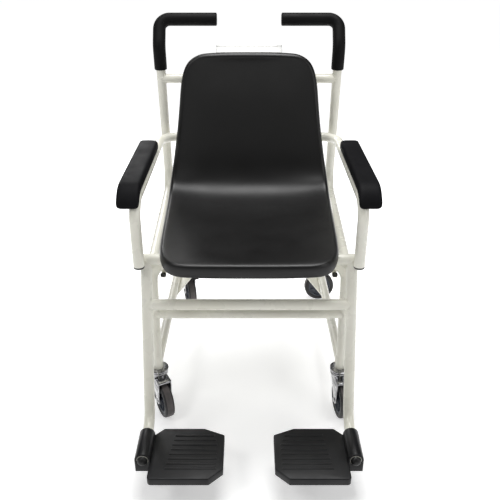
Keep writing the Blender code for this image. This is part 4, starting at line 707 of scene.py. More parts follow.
@dataclass
class SeatFrame:
    """The weighed tube frame: cross tube, legs, rails, uprights and handles."""

    welds: WeldBeads
    leg_x: float = 238 * MM
    cross_y: float = -189 * MM
    cross_z: float = 481 * MM
    lean: float = 0.32573
    seam_z: float = 153 * MM
    foot_z: float = 104 * MM
    foot_end_y: float = -436 * MM
    foot_radius: float = 50 * MM
    crossbar_z: float = 379 * MM
    rail_z: float = 472 * MM
    rail_front_x: float = 222.5 * MM
    rail_radius: float = 60 * MM
    upright_low_x: float = 238.5 * MM
    upright_high_x: float = 244.5 * MM
    upright_y: float = 303 * MM
    upper_z: float = 788 * MM
    kink_z: float = 875 * MM
    handle_y: float = 345 * MM
    handle_z: float = 938.5 * MM
    handle_inner_x: float = 88 * MM
    grip_start_z: float = 812 * MM
    grip_radius: float = 17.2 * MM
    arm_x: float = 250 * MM
    arm_z: float = 630 * MM
    arm_end_x: float = 190 * MM

    def leg_y(self, z: float) -> float:
        """Centre line of the front leg at a height."""
        return self.cross_y - (self.cross_z - z) * self.lean

    def upright_x(self, z: float) -> float:
        """Centre line of the upright at a height."""
        share = (z - self.rail_z) / (self.kink_z - self.rail_z)
        return self.upright_low_x + (self.upright_high_x - self.upright_low_x) * share

    def build(self) -> None:
        """Build the tubes, grips and brackets."""
        end = self.arm_x + TUBE_RADIUS - 0.6 * MM
        cross = tube("seat_front_tube", [Vector((-end, self.cross_y, self.cross_z)),
                                         Vector((end, self.cross_y, self.cross_z))])
        settle(cross, PAINT, FRAME_BODY, ["front_cross_tube"])
        bar_y = self.leg_y(self.crossbar_z)
        bar = tube("leg_crossbar_tube", [Vector((-self.leg_x, bar_y, self.crossbar_z)),
                                         Vector((self.leg_x, bar_y, self.crossbar_z))])
        settle(bar, PAINT, FRAME_BODY, ["front_leg_crossbar"])
        reach = self.upright_x(self.upper_z)
        upper = tube("upper_crossbar_tube", [Vector((-reach, self.upright_y, self.upper_z)),
                                             Vector((reach, self.upright_y, self.upper_z))])
        settle(upper, PAINT, FRAME_BODY, ["upper_crossbar"])
        self.pivot_tube()
        for label, side in SIDES:
            self.back_tube(label, side)
            self.grip(label, side)
            self.leg(label, side)
            self.end_plugs(label, side)

    def back_tube(self, label: str, side: int) -> None:
        """Rail, upright and handle in one, with the strap of the travel stop.

        Args:
            label: left or right.
            side: -1 on the left, 1 on the right.
        """
        corners = (
            ((side * self.rail_front_x, self.cross_y, self.rail_z), 0.0),
            ((side * self.upright_low_x, self.upright_y, self.rail_z), self.rail_radius),
            ((side * self.upright_high_x, self.upright_y, self.kink_z), 50 * MM),
            ((side * self.upright_high_x, self.handle_y, self.handle_z), 28 * MM),
            ((side * (self.handle_inner_x + 4 * MM), self.handle_y, self.handle_z), 0.0),
        )
        bent = tube("bent", bent_path(corners))
        strap_front, foot_z, thick = -94.1 * MM, 387.5 * MM, 3 * MM
        outline = (
            (strap_front - 17 * MM, foot_z), (strap_front + thick, foot_z),
            (strap_front + thick, self.rail_z - 9.6 * MM), (strap_front, self.rail_z - 9.6 * MM),
            (strap_front, foot_z + thick), (strap_front - 17 * MM, foot_z + thick),
        )
        place = Matrix.Translation((side * 213 * MM - 6 * MM, 0, 0)) @ Axis.X.value
        strap = extruded("strap", outline, 12 * MM, place, 0.8 * MM)
        settle(joined("seat_back_tube_" + label, [bent, strap]), PAINT, FRAME_BODY, ["back_tube_" + label])
        buffer_y = strap_front - 13.5 * MM
        profile = ((0, 0), (6 * MM, 0), (7 * MM, 1 * MM), (7 * MM, 5.5 * MM), (5.4 * MM, 7.5 * MM),
                   (0, 7.5 * MM))
        place = Matrix.Translation((side * 213 * MM, buffer_y, foot_z + thick + 0.3 * MM))
        settle(lathe("travel_stop_rubber_" + label, profile, place, 32), BUFFER, FRAME_BODY,
               ["travel_stop_buffer_" + label])
        self.welds.add((side * self.rail_front_x, self.cross_y, self.rail_z), (0, 1, 0), (1, 0, 0))
        x = side * self.upright_x(self.upper_z)
        self.welds.add((x, self.upright_y, self.upper_z), (-side, 0, 0), (0, 0, 1))

    def grip(self, label: str, side: int) -> None:
        """Foam grip from the upright round to its closed inner end.

        Args:
            label: left or right.
            side: -1 on the left, 1 on the right.
        """
        start = (side * self.upright_x(self.grip_start_z), self.upright_y, self.grip_start_z)
        path = bent_path((
            (start, 0.0), ((side * self.upright_high_x, self.upright_y, self.kink_z), 50 * MM),
            ((side * self.upright_high_x, self.handle_y, self.handle_z), 28 * MM),
            ((side * self.handle_inner_x, self.handle_y, self.handle_z), 0.0),
        ))
        rounding = ((0.0, 0.80), (0.6 * MM, 0.91), (1.8 * MM, 0.98), (3.2 * MM, 1.0))
        first = (path[1] - path[0]).normalized()
        last = (path[-2] - path[-1]).normalized()
        head = [(path[0] + first * depth, share) for depth, share in rounding]
        tail = [(path[-1] + last * depth, share) for depth, share in reversed(rounding)]
        whole = head + [(point, 1.0) for point in path[1:-1]] + tail
        grip = tube("handle_foam_" + label, [point for point, _ in whole], self.grip_radius, resolution=11,
                    swell=lambda i: whole[i][1])
        settle(grip, GRIP, FRAME_BODY, ["handle_grip_" + label], radians(50))

    def leg(self, label: str, side: int) -> None:
        """Front leg, and the footrest tube that leads on from its seam.

        Args:
            label: left or right.
            side: -1 on the left, 1 on the right.
        """
        x = side * self.leg_x
        top, seam = Vector((x, self.cross_y,
                            self.cross_z)), Vector((x, self.leg_y(self.seam_z), self.seam_z))
        settle(tube("leg_tube_" + label, [top, seam]), PAINT, FRAME_BODY, ["front_leg_" + label])
        down = (seam - top).normalized()
        corner = (x, self.leg_y(self.foot_z), self.foot_z)
        lower = bent_path(((tuple(seam + down * 0.5 * MM), 0.0), (corner, self.foot_radius),
                           ((x, self.foot_end_y, self.foot_z), 0.0)))
        shank = tube("shank", lower)
        collar = tube("collar", [seam - down * 1 * MM, seam + down * 1.6 * MM], TUBE_RADIUS * 0.965)
        settle(joined("footrest_bent_tube_" + label, [shank, collar]), PAINT, FRAME_BODY,
               ["footrest_tube_" + label])
        self.welds.add(tuple(top), tuple(down), (1, 0, 0))
        bar_y = self.leg_y(self.crossbar_z)
        self.welds.add((x, bar_y, self.crossbar_z), (-side, 0, 0), tuple(down))

    def end_plugs(self, label: str, side: int) -> None:
        """Plugs in the cross tube's and the footrest tube's open ends.

        Args:
            label: left or right.
            side: -1 on the left, 1 on the right.
        """
        end = (side * (self.arm_x + TUBE_RADIUS), self.cross_y, self.cross_z)
        profile = ((0, 0), (9.5 * MM, -0.2 * MM), (11.2 * MM, -1.2 * MM), (11.4 * MM, -6 * MM),
                   (0, -6 * MM))
        settle(lathe("front_tube_plug_" + label, profile, Matrix.Translation(end) @ along((side, 0, 0))),
               PLUG, FRAME_BODY)
        foot = (side * self.leg_x, self.foot_end_y, self.foot_z)
        dome = (
            (0, 10.5 * MM), (4.2 * MM, 9.9 * MM), (8.0 * MM, 7.9 * MM), (10.6 * MM, 4.8 * MM),
            (11.9 * MM, 1.2 * MM),
            (12.0 * MM, 0.2 * MM), (10.4 * MM, 0.2 * MM), (10.4 * MM, -8 * MM), (0, -8 * MM),
        )
        cap = lathe("footrest_plug_" + label, dome, Matrix.Translation(foot) @ along((0, -1, 0)))
        settle(cap, PLUG, FRAME_BODY, ["footrest_end_plug_" + label], radians(60))

    def pivot_tube(self) -> None:
        """Tube behind the seat that the armrests turn in, with its plates."""
        y = self.upright_y - 2 * TUBE_RADIUS - 0.6 * MM
        half = self.arm_end_x - 0.3 * MM
        parts = [tube("pivot", [Vector((-half, y, self.arm_z)), Vector((half, y, self.arm_z))])]
        low, high = self.arm_z - 18 * MM, self.arm_z + 7 * MM
        front = y + TUBE_RADIUS + 0.3 * MM
        for _, side in SIDES:
            inner, outer = side * 152 * MM, side * (self.upright_x(self.arm_z) - 6 * MM)
            parts.append(box("plate", (min(inner, outer), front, low),
                             (max(inner, outer), front + 6 * MM, high), 1.2 * MM))
            inner, middle = side * 154 * MM, side * 183 * MM
            parts.append(box("block", (min(inner, middle), front - 2 * MM, low + 3 * MM),
                             (max(inner, middle), front + 2 * MM, high - 3 * MM), 1 * MM))
        settle(joined("armrest_cross_tube", parts), PAINT, FRAME_BODY, ["arm_pivot_tube"])


@dataclass
class SeatShell:
    """The moulded shell: a dished pan and back with its edge rolled over all round."""

    front_y: float = -264 * MM
    top_y: float = 245.5 * MM
    rim_z: float = 505 * MM
    top_z: float = 853 * MM
    half_width: float = 212 * MM
    dish: float = 30 * MM
    rim_out: float = 10 * MM
    rim_drop: float = 17 * MM
    wall: float = 4.2 * MM
    columns: int = 14
    lip_shares: tuple[tuple[float, float], ...] = ((0.34, 0.03), (0.72, 0.20), (0.95, 0.52), (1.00, 1.00))
    boss_x: float = 110 * MM
    boss_ys: tuple[float, float] = (-80 * MM, 70 * MM)
    boss_low: float = 479.8 * MM
    # Each row as shares: y from front to top, z from rim to top, half width, dish depth, rim drop
    row_shares: tuple[tuple[float, float, float, float, float], ...] = (
        (0.000, 0.000, 0.665, 0.00, 1.85), (0.012, 0.006, 0.765, 0.03, 1.85),
        (0.037, 0.009, 0.838, 0.08, 1.75),
        (0.082, 0.009, 0.893, 0.15, 1.30), (0.145, 0.006, 0.921, 0.20, 0.80),
        (0.245, 0.006, 0.938, 0.30, 0.90),
        (0.361, 0.006, 0.952, 0.36, 1.00), (0.467, 0.006, 0.961, 0.42, 1.00),
        (0.577, 0.006, 0.970, 0.50, 1.00),
        (0.675, 0.009, 0.976, 0.62, 1.00), (0.754, 0.017, 0.982, 0.78, 1.00),
        (0.816, 0.037, 0.980, 0.92, 1.00),
        (0.860, 0.082, 0.970, 1.00, 1.00), (0.889, 0.156, 0.950, 1.00, 1.00),
        (0.909, 0.241, 0.924, 0.97, 1.00),
        (0.924, 0.341, 0.899, 0.92, 1.00), (0.938, 0.446, 0.873, 0.86, 1.00),
        (0.952, 0.554, 0.851, 0.80, 1.00),
        (0.965, 0.659, 0.832, 0.74, 1.00), (0.976, 0.759, 0.818, 0.66, 1.00),
        (0.985, 0.844, 0.800, 0.52, 1.00),
        (0.991, 0.906, 0.772, 0.38, 1.00), (0.996, 0.955, 0.731, 0.24, 1.00),
        (0.999, 0.986, 0.655, 0.12, 1.00),
        (1.000, 1.000, 0.590, 0.05, 1.00),
    )

    def row(self, index: int) -> tuple[float, float, float, float, float]:
        """Y, z, half width, dish depth and rim drop of a row, in metres."""
        y, z, width, dish, drop = self.row_shares[index]
        return (self.front_y + (self.top_y - self.front_y) * y, self.rim_z + (self.top_z - self.rim_z) * z,
                self.half_width * width, self.dish * dish, self.rim_drop * drop)

    def surface(self, index: int, share: float) -> Vector:
        """A point of the upper surface.

        Args:
            index: The row.
            share: Share of the row's half width, to the right.

        Returns:
            The point.
        """
        y, z, width, dish, _ = self.row(index)
        before, after = self.row(max(index - 1, 0)), self.row(min(index + 1, len(self.row_shares) - 1))
        line = Vector((0, after[0] - before[0], after[1] - before[1]))
        normal = Vector((1, 0, 0)).cross(line).normalized()
        return Vector((share * width, y, z)) - normal * dish * (1 - abs(share) ** 2.6)

    def facing(self, index: int, share: float) -> Vector:
        """Direction out of the upper surface at a point of it.

        Args:
            index: The row.
            share: Share of the row's half width, to the right.

        Returns:
            The direction, of length one.
        """
        last = len(self.row_shares) - 1
        step = 2 / self.columns
        forward = self.surface(min(index + 1, last), share) - self.surface(max(index - 1, 0), share)
        sideways = self.surface(index, min(share + step, 1)) - self.surface(index, max(share - step, -1))
        return sideways.cross(forward).normalized()

    def rim(self) -> list[tuple[int, float]]:
        """The rim's points, in order round it.

        Returns:
            Row and share of each point.
        """
        last = len(self.row_shares) - 1
        shares = [2 * i / self.columns - 1 for i in range(self.columns + 1)]
        return ([(0, share) for share in shares] + [(row, 1.0) for row in range(1, last)]
                + [(last, share) for share in reversed(shares)]
                + [(row, -1.0) for row in range(last - 1, 0, -1)])

    def lips(self) -> dict[tuple[int, float], list[Vector]]:
        """Points of the rolled edge outside the rim.

        Returns:
            The edge's points, from the rim outwards, for each row and share of the rim.
        """
        rim = self.rim()
        found = {}
        for i, (row, share) in enumerate(rim):
            before, after = rim[i - 1], rim[(i + 1) % len(rim)]
            line = self.surface(*after) - self.surface(*before)
            up = self.facing(row, share)
            out = line.cross(up).normalized()
            here, drop = self.surface(row, share), self.row(row)[4]
            found[(row, share)] = [here + out * self.rim_out * a - up * drop * b for a,
                                   b in self.lip_shares]
        return found

    def build(self) -> None:
        """Build the shell and its bosses."""
        lips, depth = self.lips(), len(self.lip_shares)
        rows, columns = len(self.row_shares) + 2 * depth, self.columns + 1 + 2 * depth
        deselect()
        bpy.ops.mesh.primitive_grid_add(x_subdivisions=columns - 1, y_subdivisions=rows - 1, size=1)
        shell = bpy.context.active_object
        last = len(self.row_shares) - 1
        for vert in shell.data.vertices:
            column = round((vert.co.x + 0.5) * (columns - 1)) - depth
            row = round((vert.co.y + 0.5) * (rows - 1)) - depth
            inside_column, inside_row = min(max(column, 0), self.columns), min(max(row, 0), last)
            share = 2 * inside_column / self.columns - 1
            out = max(abs(column - inside_column), abs(row - inside_row))
            vert.co = lips[(inside_row, share)][out - 1] if out else self.surface(inside_row, share)
        activate(shell)
        bpy.ops.object.mode_set(mode="EDIT")
        bpy.ops.mesh.select_all(action="SELECT")
        bpy.ops.mesh.remove_doubles(threshold=0.05 * MM)
        bpy.ops.mesh.normals_make_consistent(inside=False)
        bpy.ops.object.mode_set(mode="OBJECT")
        if self.facing_down(shell):
            shell.data.flip_normals()
        wall = shell.modifiers.new("wall", "SOLIDIFY")
        wall.thickness = self.wall
        wall.offset = -1
        smooth = shell.modifiers.new("smoothing", "SUBSURF")
        smooth.levels = smooth.render_levels = 2
        apply_all(shell)
        parts = [shell] + [self.boss(side * self.boss_x, y) for _, side in SIDES for y in self.boss_ys]
        settle(joined("moulded_seat", parts), SEAT, FRAME_BODY, ["seat_shell"], radians(60))

    def facing_down(self, shell: bpy.types.Object) -> bool:
        """Whether the middle of the pan faces the floor."""
        middle = self.surface(6, 0.0)
        face = min(shell.data.polygons, key=lambda polygon: (Vector(polygon.center) - middle).length)
        return face.normal.z < 0

    def boss(self, x: float, y: float) -> bpy.types.Object:
        """Boss under the pan that stands on a support bar.

        Args:
            x: Its place across the seat.
            y: Its place along the seat.

        Returns:
            The boss.
        """
        rows = [self.surface(i, x / self.row(i)[2]) for i in range(12)]
        near = min(rows, key=lambda point: abs(point.y - y))
        top = near.z - self.wall / 2
        profile = ((0, self.boss_low), (13.2 * MM, self.boss_low), (14 * MM, self.boss_low + 0.8 * MM),
                   (14 * MM, top), (0, top))
        return lathe("boss", profile, Matrix.Translation((x, y, 0)), 40)


@dataclass
class Armrest:
    """Bent arm tube with its post plug, and the moulded pad that wraps its front bend."""

    label: str
    side: int
    arm_x: float = 250 * MM
    arm_z: float = 630 * MM
    post_y: float = -214.9 * MM
    post_bottom_z: float = 476 * MM
    pivot_y: float = 277 * MM
    end_x: float = 190 * MM
    front_radius: float = 48 * MM
    rear_radius: float = 55 * MM
    pad_inner_x: float = 238 * MM
    pad_width: float = 50.5 * MM
    pad_thickness: float = 21.5 * MM
    nose_thickness: float = 9.5 * MM
    pad_rear_y: float = 137 * MM
    nose_z: float = 618 * MM
    nose_steps: int = 8
    # Rounding of the rear end in mm: place ahead of it, lift, loss of height, inset inside and outside
    rear_corners: tuple[tuple[float, float, float, float, float], ...] = (
        (0.0, 4.0, 8.0, 13.5, 6.0), (0.0, 1.5, 3.0, 11.0, 4.0), (1.6, 0.5, 1.4, 7.5, 2.0),
        (5.0, 0.1, 0.3, 3.6, 0.5),
        (10.0, 0.0, 0.0, 1.0, 0.0), (18.0, 0.0, 0.0, 0.0, 0.0),
    )
    # Rounding of the nose in mm: distance past its bend, lift, loss of height, inset at both sides
    nose_corners: tuple[tuple[float, float, float, float], ...] = (
        (2.0, 0.2, 0.3, 2.8), (3.7, 0.8, 1.1, 5.2), (4.9, 1.8, 2.5, 8.6), (5.1, 3.0, 4.0, 11.5),
    )

    @property
    def body(self) -> str:
        """Body that the armrest moves with."""
        return "armrest_" + self.label

    def build(self) -> None:
        """Build the tube, its plug and the pad."""
        x = self.side * self.arm_x
        corners = (
            ((x, self.post_y, self.post_bottom_z + 1.5 * MM), 0.0),
            ((x, self.post_y, self.arm_z), self.front_radius),
            ((x, self.pivot_y, self.arm_z), self.rear_radius),
            ((self.side * (self.end_x + 0.3 * MM), self.pivot_y, self.arm_z), 0.0),
        )
        bent = tube("bent", bent_path(corners))
        inner = self.side * (self.end_x - 63 * MM)
        pin = tube("pin", [Vector((inner, self.pivot_y, self.arm_z)),
                           Vector((self.side * (self.end_x + 8 * MM), self.pivot_y, self.arm_z))], 10 * MM)
        settle(joined("armrest_bent_tube_" + self.label, [bent, pin]), PAINT, self.body,
               ["armrest_tube_" + self.label])
        profile = (
            (0, 3 * MM), (11.4 * MM, 3 * MM), (12.3 * MM, 2.6 * MM), (12.7 * MM, 1.8 * MM),
            (12.7 * MM, -1.4 * MM),
            (10 * MM, -1.4 * MM), (10 * MM, -10 * MM), (0, -10 * MM),
        )
        place = Matrix.Translation((x, self.post_y, self.post_bottom_z)) @ along((0, 0, -1))
        settle(lathe("armrest_plug_" + self.label, profile, place), PLUG, self.body,
               ["armrest_post_plug_" + self.label])
        self.pad()

    def pad(self) -> None:
        """Lay the pad along the tube and down round its front bend."""
        rest = self.front_radius + TUBE_RADIUS + 0.6 * MM
        bend_y, bend_z = self.post_y + self.front_radius, self.arm_z - self.front_radius
        under_z = bend_z + rest
        fall = pi / 2 - asin((self.nose_z + 3.6 * MM - bend_z) / rest)
        half = self.pad_width / 2
        centre = self.side * (self.pad_inner_x + half)
        full = self.pad_thickness
        stations = []
        for behind, lift, thin, inner, outer in self.rear_corners:
            height = full - thin * MM
            stations.append((self.pad_rear_y - behind * MM, under_z, 0.0, lift * MM, inner * MM, outer * MM,
                             height))
        stations.extend((place, under_z, 0.0, 0.0, 0.0, 0.0, full) for place in (0.05, -0.06))
        for step in range(self.nose_steps + 1):
            share = step / self.nose_steps
            turn = fall * share
            height = full + (self.nose_thickness - full) * share ** 1.7
            inset = 1.2 * MM if step == self.nose_steps else 0.0
            stations.append((bend_y - rest * sin(turn), bend_z + rest * cos(turn), turn, 0.0, inset, inset,
                             height))
        y, z, turn, _, _, _, height = stations[-1]
        drop = Vector((0, -cos(turn), -sin(turn)))
        for ahead, lift, thin, inset in self.nose_corners:
            end = Vector((0, y, z)) + drop * ahead * MM
            stations.append((end.y, end.z, turn, lift * MM, inset * MM, inset * MM, height - thin * MM))
        rings = []
        for y, z, turn, lift, inner, outer, height in stations:
            up = Vector((0, -sin(turn), cos(turn)))
            middle = centre + self.side * (inner - outer) / 2
            section = self.section(half - (inner + outer) / 2, lift, height)
            rings.append([Vector((middle, y, z)) + Vector((a, 0, 0)) + up * b for a, b in section])
        pad = loft("armrest_pad_cushion_" + self.label, rings, 2)
        settle(pad, PAD, self.body, ["armrest_pad_" + self.label], radians(70))

    def section(self, half: float, low: float, high: float) -> list[tuple[float, float]]:
        """Section across the pad: flat under it, with soft upper corners and a slight crown.

        Args:
            half: Half its width.
            low: Height of its underside.
            high: Height of its top.

        Returns:
            Points round the section.
        """
        rise = high - low
        soft = min(7 * MM, rise * 0.45)
        small = min(2 * MM, rise * 0.2)
        return [
            (-half + small, low), (0, low), (half - small, low), (half, low + small),
            (half, low + rise * 0.45),
            (half, high - soft), (half - soft * 0.3, high - soft * 0.3), (half - soft, high - 0.2 * MM),
            (half * 0.35, high),
            (-half * 0.35, high), (-half + soft, high - 0.2 * MM), (-half + soft * 0.3, high - soft * 0.3),
            (-half, high - soft), (-half, low + rise * 0.45), (-half, low + small),
        ]


@dataclass
class Footplate:
    """Ribbed tread with clipped corners, moulded in one with its housing."""

    label: str
    side: int
    top_z: float = 100 * MM
    thickness: float = 21 * MM
    rear_y: float = -329 * MM
    front_y: float = -484 * MM
    inner_x: float = 57.5 * MM
    outer_x: float = 223 * MM
    tube_x: float = 238 * MM
    tube_z: float = 104 * MM
    housing_front_y: float = -436 * MM
    housing_rear_y: float = -351 * MM
    housing_half: float = 18 * MM
    housing_bottom_z: float = 71 * MM
    rib_count: int = 8
    rib_pitch: float = 14.4 * MM
    rib_height: float = 1.1 * MM

    def outline(self, inset: float = 0.0) -> list[tuple[float, float]]:
        """Corners of the plate, drawn in by a margin.

        Args:
            inset: The margin.

        Returns:
            The corners, mirrored for this side.
        """
        inner, outer = self.inner_x + inset, self.outer_x - inset
        front, rear = self.front_y + inset, self.rear_y - inset
        soft = inset * 0.42
        corners = [
            (outer, front + 8 * MM), (outer - 0.6 * MM, front + 5 * MM),
            (outer - 2.4 * MM, front + 2.4 * MM),
            (outer - 5 * MM, front + 0.6 * MM), (outer - 8 * MM, front),
            (self.inner_x + 31 * MM + soft, front), (inner, self.front_y + 29 * MM + soft),
            (inner, self.rear_y - 21 * MM - soft), (self.inner_x + 48 * MM + soft, rear),
            (self.outer_x - 22 * MM - soft, rear),
            (outer, self.rear_y - 22 * MM - soft),
        ]
        return [(self.side * x, y) for x, y in corners]

    def rib_ends(self, index: int) -> tuple[float, float]:
        """Ends of a rib.

        Args:
            index: The rib, counted from the rear.

        Returns:
            Its lowest and highest x.
        """
        share = index / (self.rib_count - 1)
        inner = (82 - 9 * min(share * 4, 1.0)) * MM
        outer = (173 + 14 * share) * MM
        ends = (self.side * inner, self.side * outer)
        return min(ends), max(ends)

    def build(self) -> None:
        """Build the plate, its ribs and its housing."""
        low = self.top_z - self.thickness
        slab = extruded("slab", self.outline(), self.thickness - self.rib_height,
                        Matrix.Translation((0, 0, low)), 2.4 * MM, 4)
        parts = [slab]
        for index in range(self.rib_count):
            y = self.rear_y - 24 * MM - index * self.rib_pitch
            near, far = self.rib_ends(index)
            low_corner = (near, y - 2.6 * MM, self.top_z - 3 * MM)
            parts.append(box("rib", low_corner, (far, y + 2.6 * MM, self.top_z), 0.9 * MM))
        parts.append(self.housing())
        for index in range(3):
            y = self.rear_y - 40 * MM - index * 38 * MM
            near, far = self.side * (self.inner_x + 14 * MM), self.side * (self.outer_x - 14 * MM)
            parts.append(box("stiffener", (min(near, far), y - 1.5 * MM, low - 0.2 * MM),
                             (max(near, far), y + 1.5 * MM, low + 3 * MM), 0.6 * MM))
        body = "footplate_" + self.label
        settle(joined("ribbed_footplate_" + self.label, parts), TREAD, body, [body], radians(35))

    def housing(self) -> bpy.types.Object:
        """Housing that turns on the footrest tube.

        Returns:
            The housing with its bore.
        """
        steps = 18
        half, floor = self.housing_half, self.housing_bottom_z - self.tube_z
        arc = [(half * cos(pi * i / steps), half * sin(pi * i / steps)) for i in range(steps + 1)]
        section = arc + [(-half, floor), (half, floor)]
        place = Matrix.Translation((self.side * self.tube_x, self.housing_front_y,
                                    self.tube_z)) @ Axis.Y.value
        shell = extruded("housing", section, self.housing_rear_y - self.housing_front_y, place, 0.0)
        bore_place = Matrix.Translation((self.side * self.tube_x, self.housing_front_y - 10 * MM,
                                         self.tube_z)) @ along((0, 1, 0))
        length = self.housing_rear_y - self.housing_front_y + 20 * MM
        bore_radius = TUBE_RADIUS + 0.5 * MM
        bore = lathe("bore", ((0, 0), (bore_radius, 0), (bore_radius, length), (0, length)), bore_place, 48)
        return bevelled(cut(shell, bore), 1.4 * MM, 3, radians(50))


@dataclass
class Caster:
    """Swivel caster: bearing head, fork, wheel and, at the rear, a brake pedal."""

    label: str
    x: float
    y: float
    heading: float
    stem: float
    braked: bool
    wheel_radius: float = 50 * MM
    wheel_half: float = 13 * MM
    trail: float = 30 * MM
    fork_top: float = 114 * MM
    fork_inner: float = 15 * MM
    fork_sheet: float = 3 * MM
    crown: float = 8 * MM
    reach: float = 46 * MM
    back: float = 16 * MM
    lobe: float = 11 * MM
    pin_share: float = 0.80

    @property
    def place(self) -> Matrix:
        """Where the caster stands, with its wheel trailing along its own -Y."""
        return Matrix.Translation((self.x, self.y, 0)) @ Matrix.Rotation(self.heading, 4, "Z")

    @property
    def axle(self) -> Matrix:
        """The axle's middle, with Z along the axle."""
        return self.place @ Matrix.Translation((0, -self.trail, self.wheel_radius)) @ along((1, 0, 0))

    def build(self) -> None:
        """Build the caster's pieces."""
        top = 132.4 * MM
        head = (
            (0, top - 5 * MM), (25.2 * MM, top - 5 * MM), (26.6 * MM, top - 4.2 * MM),
            (27 * MM, top - 2.4 * MM), (26.4 * MM, top - 0.7 * MM),
            (24.5 * MM, top), (10.1 * MM, top), (9.9 * MM, top + self.stem), (0, top + self.stem),
        )
        settle(lathe("bearing_head_" + self.label, head, Matrix.Translation((self.x, self.y, 0)), 64), HEAD,
               FRAME_BODY,
               ["caster_head_" + self.label])
        self.fork()
        self.wheel()
        if self.braked:
            self.pedal()

    def fork(self) -> None:
        """Pressed fork with its swivel housing and axle ends."""
        swivel = "caster_swivel_" + self.label
        shape = [
            (-self.trail + self.lobe * cos(pi * a / 20), self.wheel_radius + self.lobe * sin(pi * a / 20))
            for a in range(-19, 0)
        ]
        shoulder = self.fork_top - 2 * self.crown
        shape += [(self.back, shoulder), (self.back, self.fork_top), (-self.reach, self.fork_top),
                  (-self.reach, shoulder)]
        parts = []
        for _, side in SIDES:
            inside = side * self.fork_inner
            start = min(inside, inside + side * self.fork_sheet)
            place = self.place @ Matrix.Translation((start, 0, 0)) @ Axis.X.value
            parts.append(extruded("cheek", shape, self.fork_sheet, place, 1.0 * MM))
            ridge = [(y * 0.62 - self.trail * 0.36, z * 0.70 + 21 * MM) for y, z in shape]
            rib_start = side * (self.fork_inner + self.fork_sheet)
            place = self.place @ Matrix.Translation((min(rib_start, rib_start - side * 1 * MM)
                                                     + side * 0.5 * MM, 0, 0)) @ Axis.X.value
            parts.append(extruded("pressing", ridge, 1.0 * MM, place, 0.45 * MM))
        outer = self.fork_inner + self.fork_sheet
        crown = box("crown", (-outer, -self.reach, self.fork_top - self.crown),
                    (outer, self.back, self.fork_top), 2.6 * MM)
        crown.data.transform(self.place)
        lid = (
            (0, self.fork_top - 2 * MM), (24 * MM, self.fork_top - 1 * MM),
            (24 * MM, self.fork_top + 7.4 * MM),
            (23.2 * MM, self.fork_top + 10.4 * MM), (21.6 * MM, self.fork_top + 12.6 * MM),
            (0, self.fork_top + 12.8 * MM),
        )
        parts += [crown, lathe("lid", lid, self.place, 64, 0.5 * MM)]
        groove = ((22.4 * MM, self.fork_top + 3 * MM), (24.5 * MM, self.fork_top + 3.4 * MM),
                  (24.5 * MM, self.fork_top + 5.2 * MM),
                  (22.4 * MM, self.fork_top + 5.6 * MM))
        parts.append(lathe("band", groove, self.place, 64))
        parts.extend(self.axle_end(side) for _, side in SIDES)
        if self.braked:
            parts.append(self.pedal_pin())
        settle(joined("fork_pressing_" + self.label, parts), CHROME, swivel, ["caster_fork_" + self.label],
               radians(32))

    def axle_end(self, side: int) -> bpy.types.Object:
        """Hexagon head or nut on the axle, with its washer.

        Args:
            side: -1 or 1 along the axle.

        Returns:
            The head.
        """
        outer = self.fork_inner + self.fork_sheet
        turn = self.axle @ (along((0, 0, side)) if side < 0 else Matrix.Identity(4))
        washer = lathe("washer", ((0, outer - 0.5 * MM), (7.2 * MM, outer - 0.5 * MM),
                                  (7.2 * MM, outer + 0.6 * MM), (0, outer + 0.6 * MM)), turn, 32, 0.25 * MM)
        deselect()
        bpy.ops.mesh.primitive_cylinder_add(vertices=6, radius=6.4 * MM, depth=3.2 * MM,
                                            location=(0, 0, outer + 1.6 * MM))
        nut = bpy.context.active_object
        bpy.ops.object.transform_apply(location=True, rotation=True, scale=True)
        bevelled(nut, 0.5 * MM, 2)
        nut.data.transform(turn)
        bolt = lathe("bolt", ((0, 0), (3.9 * MM, 0), (3.9 * MM, outer + 3.2 * MM),
                              (3.0 * MM, outer + 3.4 * MM), (0, outer + 3.4 * MM)), turn, 24)
        return joined("axle_end", [washer, nut, bolt])

